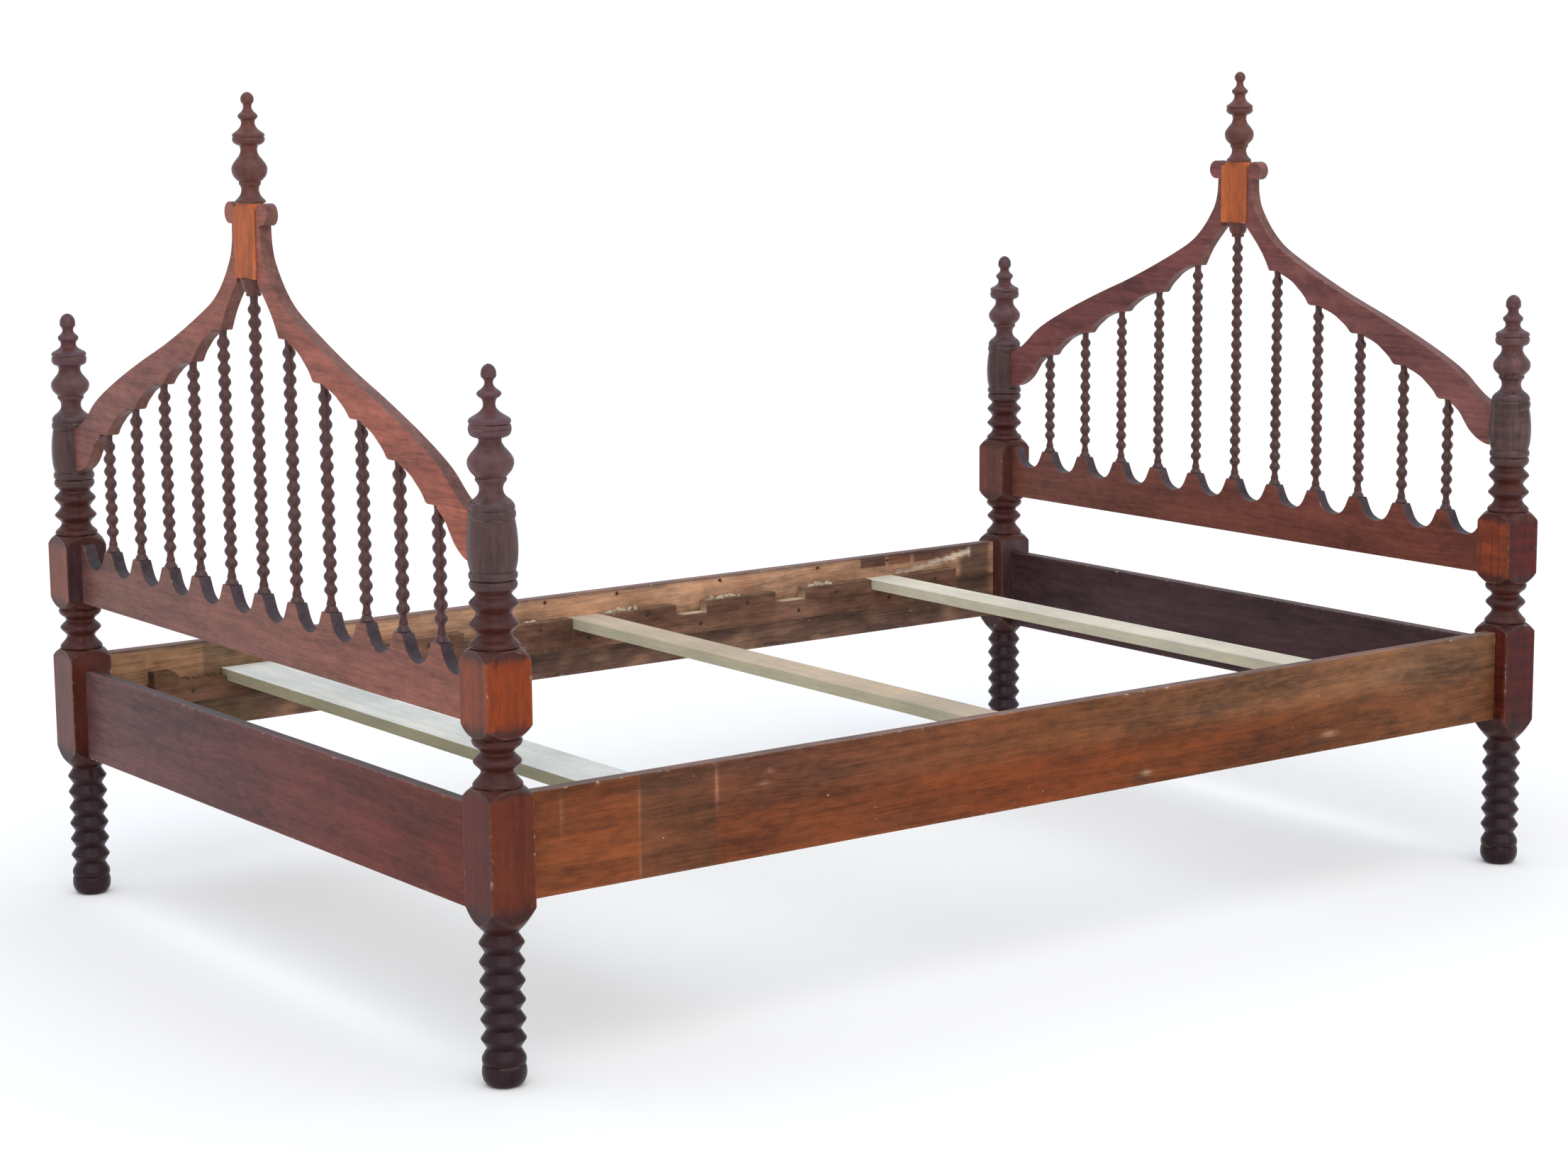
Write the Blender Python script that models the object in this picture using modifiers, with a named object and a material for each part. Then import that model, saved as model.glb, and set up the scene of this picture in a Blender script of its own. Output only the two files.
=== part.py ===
"""Spool-turned low-post bed frame with two matching arched ends.

X runs along the bed (foot end -X, head end +X), Y across it, Z up.
The origin is on the floor under the middle of the bed.
"""
import math
import bpy
import bmesh
from mathutils import Matrix, Vector

# ---------------------------------------------------------------- dimensions
MM = 0.001
GAP = 0.3                    # clearance between touching pieces

POST_PITCH_X = 1912.0        # post axis to post axis, along the bed
POST_PITCH_Y = 1260.0        # post axis to post axis, across the bed
POST_SQUARE = 68.0           # side of the square blocks on each post
POST_SIDES = 12

LOW_BLOCK = (242.0, 383.0)   # full-square part of the lower block
HIGH_BLOCK = (484.0, 563.0)  # full-square part of the upper block

RING_PITCH = 25.8            # stacked rings on the leg
RING_COUNT = 6
RING_R, VALLEY_R = 29.3, 23.2

RAIL_T = 21.5                # thickness of the lower rails
RAIL_INSET = 22.0            # lower rails sit back from the post faces
SIDE_RAIL_Z = (244.0, 387.0)
END_RAIL_Z = (226.0, 367.0)

BOARD_T = 20.0               # thickness of gallery rail and arch
GALLERY_BOTTOM = 476.0
PAD_TOP = 569.0              # flats that carry the spindles
SCOOP_BOTTOM = 534.5

SPINDLES_EACH_SIDE = 5       # on each side of the middle spindle
SPINDLE_PITCH = (POST_PITCH_Y - POST_SQUARE) / 12.0
SPINDLE_TOPS = (994.0, 940.0, 886.5, 845.5, 800.0, 751.5)
SPINDLE_SIDES = 6
BEAD_PITCH = 19.2
BEAD_R, BEAD_VALLEY_R = 9.4, 5.4

CENTRE_BLOCK_W = 62.0
CENTRE_BLOCK_T = 25.0
CENTRE_BLOCK_Z = (1019.0, 1117.0)
CAP_TOP = 1124.5
SCROLL_R = 15.5
SCROLL_Z = 1110.0
NECK_Y = 41.0

# outer edge of the arch: distance from the middle, height
ARCH_TOP = ((41.0, 1092.0), (42.5, 1070.0), (48.0, 1050.0), (58.0, 1033.0),
            (76.0, 1010.0), (104.0, 985.0), (161.0, 955.0), (261.0, 911.0),
            (356.0, 875.0), (441.0, 840.0), (502.0, 811.0), (530.0, 794.0),
            (552.0, 776.0), (574.0, 761.0), (600.0, 751.0))
# inner edge between the block and the first spindle seat
ARCH_INNER = ((43.0, 1000.0), (58.0, 984.0), (71.0, 968.0), (80.0, 954.0))
# inner edge between the last spindle seat and the post
ARCH_FOOT = ((509.0, 748.0), (520.0, 741.0), (530.0, 733.0), (540.0, 720.0),
             (550.0, 708.0), (561.0, 699.0), (574.0, 691.5), (588.0, 687.0),
             (600.0, 686.0))
SEAT_HALF = 11.5             # half width of a spindle seat under the arch

LEDGER_X = (-848.0, 812.0)
LEDGER_Z = (293.0, 349.0)
LEDGER_T = 21.5
NOTCH_FLOOR = 329.0
NOTCH_W = 67.0
NOTCH_PITCH = 219.6
NOTCH_FIRST = -676.5
NOTCH_COUNT = 7
# the notch nearest the foot is cut wider and deeper than the rest
FOOT_NOTCH_X, FOOT_NOTCH_W, FOOT_NOTCH_FLOOR = -674.0, 92.0, 320.5

SLAT_W, SLAT_T = 63.5, 19.0
FOOT_SLAT_W = 89.0           # the slat nearest the foot is a wider board
SLAT_END_GAP = 1.3
SLAT_NOTCHES = (0, 3, 6)

IRON_PLATE = (116.0, 18.0, 3.0)   # height, width, thickness
HOOK_Z = (288.0, 342.0)           # undersides of the hook bars
HOOK_T = 3.0
PIN_R, PIN_L = 2.5, 36.0

AX, AY = POST_PITCH_X / 2, POST_PITCH_Y / 2
HALF = POST_SQUARE / 2
SIDE_RAIL_Y = AY + HALF - RAIL_INSET - RAIL_T / 2      # centre plane
END_RAIL_X = AX + HALF - RAIL_INSET - RAIL_T / 2

NAME = "spool_turned_bed"

# ------------------------------------------------------------------- clearing
for ob in list(bpy.data.objects):
    bpy.data.objects.remove(ob, do_unlink=True)

parts = bpy.data.collections.new(NAME)
cutters = bpy.data.collections.new("cutters")
bpy.context.scene.collection.children.link(parts)
bpy.context.scene.collection.children.link(cutters)


# ------------------------------------------------------------------- helpers
def material(name, rgb, rough, metal=0.0):
    mat = bpy.data.materials.new(name)
    mat.use_nodes = True
    bsdf = mat.node_tree.nodes["Principled BSDF"]
    bsdf.inputs["Base Color"].default_value = (*rgb, 1.0)
    bsdf.inputs["Roughness"].default_value = rough
    bsdf.inputs["Metallic"].default_value = metal
    mat.diffuse_color = (*rgb, 1.0)
    return mat


def finish(ob, rgb, rough=0.45, metal=0.0):
    ob.data.materials.clear()
    ob.data.materials.append(material(ob.name, rgb, rough, metal))
    return ob


def new_object(name, mesh, where=(0, 0, 0), cutter=False):
    ob = bpy.data.objects.new(name, mesh)
    ob.location = Vector(where) * MM
    (cutters if cutter else parts).objects.link(ob)
    if cutter:
        ob.hide_render = True
        ob.display_type = 'WIRE'
    return ob


def box(name, lo, hi, cutter=False):
    """Box between two corners, in millimetres."""
    lo, hi = Vector(lo), Vector(hi)
    bm = bmesh.new()
    bmesh.ops.create_cube(bm, size=1.0)
    bmesh.ops.scale(bm, vec=(hi - lo) * MM, verts=bm.verts)
    mesh = bpy.data.meshes.new(name)
    bm.to_mesh(mesh)
    bm.free()
    return new_object(name, mesh, (lo + hi) / 2, cutter)


def turned(name, profile, where, sides, cutter=False):
    """Solid of revolution; profile runs (z, r) from the top down."""
    verts = [(r * MM, 0.0, z * MM) for z, r in profile]
    mesh = bpy.data.meshes.new(name)
    mesh.from_pydata(verts, [(i, i + 1) for i in range(len(verts) - 1)], [])
    ob = new_object(name, mesh, where, cutter)
    mod = ob.modifiers.new("turn", 'SCREW')
    mod.axis = 'Z'
    mod.angle = math.tau
    mod.steps = mod.render_steps = sides
    mod.use_merge_vertices = True
    mod.merge_threshold = 0.00001
    mod.use_smooth_shade = True
    return ob


def rod_y(name, radius, length, where, cutter=False):
    bm = bmesh.new()
    bmesh.ops.create_cone(bm, cap_ends=True, segments=8, radius1=radius * MM,
                          radius2=radius * MM, depth=length * MM,
                          matrix=Matrix.Rotation(math.pi / 2, 4, 'X'))
    mesh = bpy.data.meshes.new(name)
    bm.to_mesh(mesh)
    bm.free()
    return new_object(name, mesh, where, cutter)


def board(name, outline, thickness, plane, offset):
    """Flat board cut to an outline. plane 'YZ' stands across the bed,
    plane 'XZ' along it; offset is the board's centre plane."""
    curve = bpy.data.curves.new(name, 'CURVE')
    curve.dimensions = '2D'
    curve.fill_mode = 'BOTH'
    curve.extrude = thickness / 2 * MM
    spline = curve.splines.new('POLY')
    spline.points.add(len(outline) - 1)
    for point, (a, b) in zip(spline.points, outline):
        point.co = (a * MM, b * MM, 0.0, 1.0)
    spline.use_cyclic_u = True
    ob = bpy.data.objects.new(name + "_outline", curve)
    parts.objects.link(ob)
    if plane == 'YZ':
        turn = Matrix(((0, 0, 1), (1, 0, 0), (0, 1, 0)))
        ob.matrix_world = Matrix.Translation((offset * MM, 0, 0)) @ turn.to_4x4()
    else:
        turn = Matrix(((1, 0, 0), (0, 0, -1), (0, 1, 0)))
        ob.matrix_world = Matrix.Translation((0, offset * MM, 0)) @ turn.to_4x4()
    bpy.context.view_layer.update()
    deps = bpy.context.evaluated_depsgraph_get()
    mesh = bpy.data.meshes.new_from_object(ob.evaluated_get(deps))
    mesh.name = name
    world = ob.matrix_world.copy()
    bpy.data.objects.remove(ob, do_unlink=True)
    bm = bmesh.new()
    bm.from_mesh(mesh)
    bmesh.ops.remove_doubles(bm, verts=bm.verts, dist=0.00001)
    bmesh.ops.recalc_face_normals(bm, faces=bm.faces)
    bm.to_mesh(mesh)
    bm.free()
    piece = new_object(name, mesh)
    piece.matrix_world = world
    return piece


def boolean(ob, cutter, how):
    mod = ob.modifiers.new(how.lower(), 'BOOLEAN')
    mod.operation = how
    mod.solver = 'EXACT'
    mod.object = cutter


def add(ob, cutter):
    boolean(ob, cutter, 'UNION')


def cut(ob, cutter):
    boolean(ob, cutter, 'DIFFERENCE')


def smooth_path(stations, step):
    """Catmull-Rom curve through the stations, resampled at about one step."""
    pts = [Vector(p) for p in stations]
    pts = [2 * pts[0] - pts[1]] + pts + [2 * pts[-1] - pts[-2]]
    out = []
    for a, b, c, d in zip(pts, pts[1:], pts[2:], pts[3:]):
        n = max(1, round((c - b).length / step))
        for i in range(n):
            t = i / n
            out.append(0.5 * (2 * b + (c - a) * t
                              + (2 * a - 5 * b + 4 * c - d) * t * t
                              + (3 * b - a - 3 * c + d) * t ** 3))
    out.append(pts[-2])
    return [(p.x, p.y) for p in out]


# --------------------------------------------------------------------- posts
FULL_R = HALF * math.sqrt(2) / math.cos(math.pi / POST_SIDES) + 0.7


def finial(tall):
    """Top of a post above the barrel; one post carries a taller one."""
    if tall:
        return [(946, 0), (942, 7), (934, 10), (921, 5.6), (908, 16),
                (893, 8.2), (877, 26.5), (862, 27), (848, 14.8), (822, 30),
                (799, 19)]
    return [(930, 0), (926, 7.5), (916, 12), (904, 8.5), (892, 16),
            (880, 12), (866, 27), (857, 26.5), (842, 17), (817, 29.5),
            (799, 20)]


def barrel(extra=0.0):
    return [(755, 30.8 + extra), (748, 29.6 + extra), (726, 32.6 + extra),
            (698, 32.6 + extra), (683, 29.4 + extra)]


def post_profile(tall):
    prof = finial(tall)
    prof += [(794, 18), (787, 15.4), (773, 23), (765, 28.4)]
    prof += barrel()
    prof += [(670, 31.6), (651, 24.5), (639.5, 31.8), (626, 24.5), (612, 32.2),
             (600, 23.6), (582, 32.6)]
    prof += [(574, 41), (HIGH_BLOCK[1], FULL_R), (HIGH_BLOCK[0], FULL_R),
             (475, 44), (461, 33.2)]
    prof += [(445, 23), (433, 31.6), (420, 22.6), (401, 32.6)]
    prof += [(394, 39.5), (LOW_BLOCK[1], FULL_R), (LOW_BLOCK[0], FULL_R),
             (230, 42), (208, 24)]
    for k in range(RING_COUNT, 0, -1):
        valley = 50 + RING_PITCH * k
        prof += [(valley, VALLEY_R), (valley - RING_PITCH / 2, RING_R)]
    prof += [(50, VALLEY_R), (38, 29.6), (8, 30), (0, 27), (0, 0)]
    return prof


def hook_outline(face, out):
    """Plate with two down-turned hooks. face is the rail's end, out points
    into the post."""
    def at(dx, z):
        return (face + out * dx, z)
    mid = (SIDE_RAIL_Z[0] + SIDE_RAIL_Z[1]) / 2
    lo, hi = mid - IRON_PLATE[0] / 2, mid + IRON_PLATE[0] / 2
    pts = [at(-IRON_PLATE[2], lo), at(-0.1, lo)]
    for z in HOOK_Z:
        pts += [at(-0.1, z), at(8.5, z), at(8.5, z - 12), at(13.5, z - 9),
                at(13.5, z + 7), at(9.5, z + 11), at(-0.1, z + 11)]
    pts += [at(-0.1, hi), at(-IRON_PLATE[2], hi)]
    return pts


WOOD_POST = (0.085, 0.022, 0.014)
STEEL = (0.20, 0.18, 0.16)


def make_post(end, side, ex, sy):
    name = f"post_{end}_{side}"
    x, y = ex * AX, sy * AY
    tall = end == "foot" and side == "near"
    post = turned(name, post_profile(tall), (x, y, 0), POST_SIDES)
    square = box(name + "_square", (x - HALF, y - HALF, -20),
                 (x + HALF, y + HALF, 1000), cutter=True)
    boolean(post, square, 'INTERSECT')
    # mortises for the end rail, the gallery rail and the arch
    inner_y = y - sy * HALF
    for tag, t, z0, z1, depth, start, cx in (
            ("rail", 10, 250, 345, 18, inner_y, ex * END_RAIL_X),
            ("gallery", 9, 490, 548, 16, inner_y, x),
            ("arch", 8, 698, 738, 14, y - sy * 33.0, x)):
        near_edge, far_edge = start - sy * 4, start + sy * (depth + GAP)
        mortise = box(f"{name}_{tag}_mortise",
                      (cx - t / 2 - GAP, min(near_edge, far_edge), z0 - GAP),
                      (cx + t / 2 + GAP, max(near_edge, far_edge), z1 + GAP),
                      cutter=True)
        cut(post, mortise)
    # slot and pins that the side rail's hooks drop onto
    face, ry = x - ex * HALF, sy * SIDE_RAIL_Y
    a, b = face - ex * 3, face + ex * 16
    slot = box(name + "_slot", (min(a, b), ry - 2.1, 266), (max(a, b), ry + 2.1, 374),
               cutter=True)
    cut(post, slot)
    for i, z in enumerate(HOOK_Z, 1):
        spot = (face + ex * 4.4, ry, z - GAP - PIN_R)
        bore = rod_y(f"{name}_bore_{i}", PIN_R + GAP, PIN_L + 2 * GAP, spot, cutter=True)
        cut(post, bore)
        pin = rod_y(f"hook_pin_{end}_{side}_{i}", PIN_R, PIN_L, spot)
        finish(pin, STEEL, 0.5, 1.0)
    finish(post, WOOD_POST, 0.32)


# ---------------------------------------------------------------- end frames
def seat_height(k):
    return SPINDLE_TOPS[abs(k)] + GAP


def gallery_outline():
    """Board with a scoop between every two spindle seats."""
    end = AY - HALF - GAP
    half = SPINDLE_PITCH / 2

    def top(y):
        d = abs((y + half) % SPINDLE_PITCH - half)       # from nearest seat
        if d < 11.5:
            return PAD_TOP
        t = (d - 11.5) / (half - 11.5)
        return PAD_TOP - (PAD_TOP - SCOOP_BOTTOM) * math.sin(t * math.pi / 2) ** 1.15

    pts = [(-end, GALLERY_BOTTOM), (end, GALLERY_BOTTOM)]
    offsets = (-half, -30, -18, -11.5, 11.5, 18, 30)
    ys = sorted({round(k * SPINDLE_PITCH + o, 3)
                 for k in range(-6, 7) for o in offsets})
    ys = [v for v in ys if -end < v < end]
    ys = [-end] + ys + [end]
    return pts + [(y, top(y)) for y in reversed(ys)]


def arch_outline(s):
    """Half arch with a scroll at its top end; s is the side, +1 or -1."""
    inner = CENTRE_BLOCK_W / 2 + GAP
    low = [(inner, 1012.0)]
    low += list(ARCH_INNER)
    for k in range(1, 6):
        y, z = k * SPINDLE_PITCH, seat_height(k)
        low += [(y - SEAT_HALF, z), (y + SEAT_HALF * 0.8, z)]
        if k < 5:
            drop = z - seat_height(k + 1)
            for t, share in ((0.25, 0.12), (0.42, 0.27), (0.58, 0.50),
                             (0.70, 0.68), (0.80, 0.88)):
                low.append((y + t * SPINDLE_PITCH, z - share * drop))
    low += list(ARCH_FOOT)
    top = smooth_path(ARCH_TOP, 28.0)[::-1]
    cy = inner + SCROLL_R + 0.1
    start = math.acos((NECK_Y - cy) / SCROLL_R)
    turns = 14
    scroll = []
    for i in range(turns + 1):
        a = -start + (math.pi + start) * i / turns
        scroll.append((cy + SCROLL_R * math.cos(a), SCROLL_Z + SCROLL_R * math.sin(a)))
    pts = low + top + scroll
    return [(s * a, b) for a, b in pts]


def spindle_profile(z_top, seat):
    first, last = seat + 30.0, z_top - 19.0
    beads = max(1, round((last - first) / BEAD_PITCH))
    step = (last - first) / beads
    prof = [(z_top, 0), (z_top, 5.5), (z_top - 10, 5.5)]
    for i in range(beads, -1, -1):
        z = first + i * step
        prof.append((z, BEAD_R))
        if i:
            prof.append((z - step / 2, BEAD_VALLEY_R))
    prof += [(seat + 21, 5.0), (seat + 3, 9.5), (seat, 10), (seat, 0)]
    return prof


def make_end(end, ex):
    x = ex * AX
    wood = (0.12, 0.032, 0.018)
    inner_y = AY - HALF
    # lower end rail, tenoned into both posts
    cx = ex * END_RAIL_X
    rail = box(f"end_rail_{end}", (cx - RAIL_T / 2, -inner_y + GAP, END_RAIL_Z[0]),
               (cx + RAIL_T / 2, inner_y - GAP, END_RAIL_Z[1]))
    add(rail, box(f"end_rail_{end}_tenon", (cx - 5, -inner_y - 18, 250),
                  (cx + 5, inner_y + 18, 345), cutter=True))
    finish(rail, (0.10, 0.030, 0.024), 0.38)
    # gallery rail with its scoops
    gallery = board(f"gallery_rail_{end}", gallery_outline(), BOARD_T, 'YZ', x)
    add(gallery, box(f"gallery_{end}_tenon", (x - 4.5, -inner_y - 16, 490),
                     (x + 4.5, inner_y + 16, 548), cutter=True))
    finish(gallery, wood, 0.36)
    # middle block: slab with a turned cap
    w, t = CENTRE_BLOCK_W / 2, CENTRE_BLOCK_T / 2
    block = turned(f"centre_block_{end}",
                   [(CAP_TOP, 0), (CAP_TOP, 23), (1118.5, 27), (CENTRE_BLOCK_Z[1], 37),
                    (CENTRE_BLOCK_Z[0], 37), (CENTRE_BLOCK_Z[0], 0)],
                   (x, 0, 0), 16)
    boolean(block, box(f"centre_block_{end}_slab", (x - t, -w, 900), (x + t, w, 1300),
                       cutter=True), 'INTERSECT')
    finish(block, (0.26, 0.075, 0.022), 0.4)
    top = turned(f"centre_finial_{end}",
                 [(1279, 0), (1276, 6), (1270.5, 9.3), (1259, 5.8),
                  (1245.5, 14), (1236, 9.8), (1220, 22.5), (1212, 22.5),
                  (1202, 12.2), (1196, 12.2), (1171, 25), (1152, 15.2),
                  (1143, 12.6), (1128, 21.3),
                  (CAP_TOP + GAP, 21.3), (CAP_TOP + GAP, 0)], (x, 0, 0), 12)
    finish(top, (0.11, 0.032, 0.022), 0.3)
    drop = turned(f"centre_drop_{end}",
                  [(CENTRE_BLOCK_Z[0] - GAP, 0), (CENTRE_BLOCK_Z[0] - GAP, 19),
                   (1012, 15.6), (1004, 14.2), (999.5, 10.6), (996.5, 11),
                   (SPINDLE_TOPS[0] + GAP, 10.2), (SPINDLE_TOPS[0] + GAP, 0)],
                  (x, 0, 0), 12)
    finish(drop, (0.12, 0.032, 0.018), 0.32)
    # two half arches
    for side, s in (("near", -1), ("far", 1)):
        arch = board(f"arch_{end}_{side}", arch_outline(s), BOARD_T, 'YZ', x)
        around = turned(f"arch_{end}_{side}_cope",
                        [(790, 0), (790, 31.2)] + barrel(0.35)
                        + [(664, 31.8), (640, 31.8), (640, 0)],
                        (x, s * AY, 0), POST_SIDES, cutter=True)
        cut(arch, around)
        ya, yb = s * (AY - 33 - 8), s * (AY - 33 + 14)
        add(arch, box(f"arch_{end}_{side}_tenon", (x - 4, min(ya, yb), 698),
                      (x + 4, max(ya, yb), 738), cutter=True))
        finish(arch, wood, 0.34)
    # spindles
    for k in range(-SPINDLES_EACH_SIDE, SPINDLES_EACH_SIDE + 1):
        top_z = SPINDLE_TOPS[abs(k)]
        spindle = turned(f"spindle_{end}_{k + SPINDLES_EACH_SIDE + 1:02d}",
                         spindle_profile(top_z, PAD_TOP + GAP),
                         (x, k * SPINDLE_PITCH, 0), SPINDLE_SIDES)
        finish(spindle, (0.075, 0.024, 0.022), 0.3)


# ---------------------------------------------------------------- side rails
def notch(k):
    """Middle, width and floor height of a ledger notch."""
    if k == 0:
        return FOOT_NOTCH_X, FOOT_NOTCH_W, FOOT_NOTCH_FLOOR
    return NOTCH_FIRST + k * NOTCH_PITCH, NOTCH_W, NOTCH_FLOOR


def make_side(side, s):
    face = AX - HALF
    y = s * SIDE_RAIL_Y
    rail = box(f"side_rail_{side}", (-face + GAP, y - RAIL_T / 2, SIDE_RAIL_Z[0]),
               (face - GAP, y + RAIL_T / 2, SIDE_RAIL_Z[1]))
    mid = (SIDE_RAIL_Z[0] + SIDE_RAIL_Z[1]) / 2
    ph, pw, pt = IRON_PLATE
    for end, ex in (("foot", -1), ("head", 1)):
        end_x = ex * (face - GAP)
        a, b = end_x - ex * (pt + GAP), end_x + ex * 5
        cut(rail, box(f"side_rail_{side}_{end}_recess",
                      (min(a, b), y - pw / 2 - GAP, mid - ph / 2 - GAP),
                      (max(a, b), y + pw / 2 + GAP, mid + ph / 2 + GAP), cutter=True))
        iron = board(f"rail_iron_{end}_{side}", hook_outline(end_x, ex), HOOK_T, 'XZ', y)
        a, b = end_x - ex * pt, end_x - ex * 0.1
        add(iron, box(f"rail_iron_{end}_{side}_plate",
                      (min(a, b), y - pw / 2, mid - ph / 2),
                      (max(a, b), y + pw / 2, mid + ph / 2), cutter=True))
        finish(iron, STEEL, 0.55, 1.0)
    finish(rail, (0.17, 0.060, 0.022), 0.42)

    # ledger with a row of notches, fixed to the rail's inner face
    outer = SIDE_RAIL_Y - RAIL_T / 2 - GAP
    inner = outer - LEDGER_T
    pts = [(LEDGER_X[0], LEDGER_Z[0]), (LEDGER_X[1], LEDGER_Z[0]),
           (LEDGER_X[1], LEDGER_Z[1])]
    for k in reversed(range(NOTCH_COUNT)):
        c, width, floor = notch(k)
        a, b = c + width / 2, c - width / 2
        pts += [(a, LEDGER_Z[1]), (a, floor), (b, floor), (b, LEDGER_Z[1])]
    pts.append((LEDGER_X[0], LEDGER_Z[1]))
    ledger = board(f"ledger_{side}", pts, LEDGER_T, 'XZ', s * (outer + inner) / 2)
    finish(ledger, (0.060, 0.035, 0.024), 0.7)


def make_slats():
    reach = SIDE_RAIL_Y - RAIL_T / 2 - SLAT_END_GAP
    for i, k in enumerate(SLAT_NOTCHES, 1):
        c, _, floor = notch(k)
        half = (SLAT_W if k else FOOT_SLAT_W) / 2
        slat = box(f"slat_{i}", (c - half, -reach, floor + GAP),
                   (c + half, reach, floor + GAP + SLAT_T))
        finish(slat, (0.50, 0.47, 0.38), 0.75)


for end_name, ex in (("foot", -1), ("head", 1)):
    make_end(end_name, ex)
    for side_name, sy in (("near", -1), ("far", 1)):
        make_post(end_name, side_name, ex, sy)
for side_name, sy in (("near", -1), ("far", 1)):
    make_side(side_name, sy)
make_slats()
bpy.context.view_layer.update()
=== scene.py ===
"""Looks of a spool-turned low-post bed frame: fine turnings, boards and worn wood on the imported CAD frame."""
import math

import bmesh
import bpy
import numpy as np
from mathutils import Matrix, Vector


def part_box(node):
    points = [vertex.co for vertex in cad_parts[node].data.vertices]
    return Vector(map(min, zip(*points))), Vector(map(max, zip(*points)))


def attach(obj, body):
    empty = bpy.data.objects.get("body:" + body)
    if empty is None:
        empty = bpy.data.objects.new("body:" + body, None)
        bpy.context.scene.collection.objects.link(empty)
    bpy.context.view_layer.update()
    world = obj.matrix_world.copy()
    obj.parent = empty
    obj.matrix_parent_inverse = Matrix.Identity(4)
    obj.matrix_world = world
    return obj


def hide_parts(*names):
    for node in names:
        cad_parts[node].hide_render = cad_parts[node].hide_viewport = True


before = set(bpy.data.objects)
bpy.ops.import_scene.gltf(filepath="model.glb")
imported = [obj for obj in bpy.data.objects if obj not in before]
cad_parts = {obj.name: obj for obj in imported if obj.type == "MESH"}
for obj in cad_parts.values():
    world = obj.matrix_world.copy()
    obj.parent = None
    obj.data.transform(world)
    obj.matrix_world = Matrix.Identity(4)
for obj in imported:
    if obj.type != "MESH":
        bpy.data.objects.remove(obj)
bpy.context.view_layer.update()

MM = 0.001
scene = bpy.context.scene
scene.view_settings.view_transform = 'Standard'
scene.view_settings.look = 'None'


def srgb(r, g, b):
    out = []
    for c in (r, g, b):
        c /= 255.0
        out.append(c / 12.92 if c <= 0.04045 else ((c + 0.055) / 1.055) ** 2.4)
    return (*out, 1.0)


def lin(rgb):
    return np.array(srgb(*rgb)[:3])


def dry(rgb, veil=0.011, gain=1.12):
    """Stain colour under a surface sheen that adds a little light of its own."""
    return np.maximum((lin(rgb) - veil) / gain, 0.0025)


def shift(target, base):
    """Colour shift that turns the base colour of a wood into the target colour."""
    return lin(target) / lin(base) - 1.0


def box_mm(node):
    lo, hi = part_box(node)
    return np.array(lo) / MM, np.array(hi) / MM


# ---------------------------------------------------------------- places, all from the CAD frame
_lo, _hi = box_mm("post_foot_near")
POST = {}
for _end in ("foot", "head"):
    for _side in ("near", "far"):
        a, b = box_mm(f"post_{_end}_{_side}")
        POST[_end, _side] = ((a + b) / 2)[:2]
HALF = (_hi[0] - _lo[0]) / 2
AX = (POST["head", "near"][0] - POST["foot", "near"][0]) / 2
AY = (POST["foot", "far"][1] - POST["foot", "near"][1]) / 2
PITCH = (2 * AY - 2 * HALF) / 12.0
GAP = 0.3
SEAT_Z = box_mm("spindle_foot_06")[0][2]
TOPS = [box_mm(f"spindle_foot_{6 + k:02d}")[1][2] for k in range(6)]


# ---------------------------------------------------------------- mesh helpers
def curve(stations, step=1.3):
    """Dense (a, b) line through the stations. A station with a third value is a corner."""
    runs, run = [], []
    for s in stations:
        run.append((float(s[0]), float(s[1])))
        if len(s) > 2 and len(run) > 1:
            runs.append(run)
            run = [run[-1]]
    if len(run) > 1:
        runs.append(run)
    out = []
    for run in runs:
        p = np.array(run)
        if len(p) == 2:
            n = max(1, int(np.linalg.norm(p[1] - p[0]) / (step * 3)))
            pts = [p[0] + (p[1] - p[0]) * i / n for i in range(n + 1)]
        else:
            ext = np.vstack([2 * p[0] - p[1], p, 2 * p[-1] - p[-2]])
            pts = []
            for i in range(1, len(ext) - 2):
                p0, p1, p2, p3 = ext[i - 1:i + 3]
                t0 = 0.0
                t1 = t0 + max(np.linalg.norm(p1 - p0), 1e-6) ** 0.5
                t2 = t1 + max(np.linalg.norm(p2 - p1), 1e-6) ** 0.5
                t3 = t2 + max(np.linalg.norm(p3 - p2), 1e-6) ** 0.5
                n = max(2, int(round(np.linalg.norm(p2 - p1) / step)))
                for j in range(n):
                    t = t1 + (t2 - t1) * j / n
                    a1 = (t1 - t) / (t1 - t0) * p0 + (t - t0) / (t1 - t0) * p1
                    a2 = (t2 - t) / (t2 - t1) * p1 + (t - t1) / (t2 - t1) * p2
                    a3 = (t3 - t) / (t3 - t2) * p2 + (t - t2) / (t3 - t2) * p3
                    b1 = (t2 - t) / (t2 - t0) * a1 + (t - t0) / (t2 - t0) * a2
                    b2 = (t3 - t) / (t3 - t1) * a2 + (t - t1) / (t3 - t1) * a3
                    pts.append((t2 - t) / (t2 - t1) * b1 + (t - t1) / (t2 - t1) * b2)
            pts.append(p[-1])
        if out:
            pts = pts[1:]
        out += [tuple(q) for q in pts]
    return out


def cavity(zr, reach=7.0):
    """+1 on crests, -1 in hollows of a turned line."""
    z = np.array([p[0] for p in zr])
    r = np.array([p[1] for p in zr])
    out = np.zeros(len(z))
    for i in range(len(z)):
        w = np.exp(-((z - z[i]) / reach) ** 2)
        out[i] = r[i] - (w * r).sum() / w.sum()
    return np.clip(out / 2.6, -1, 1)


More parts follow.
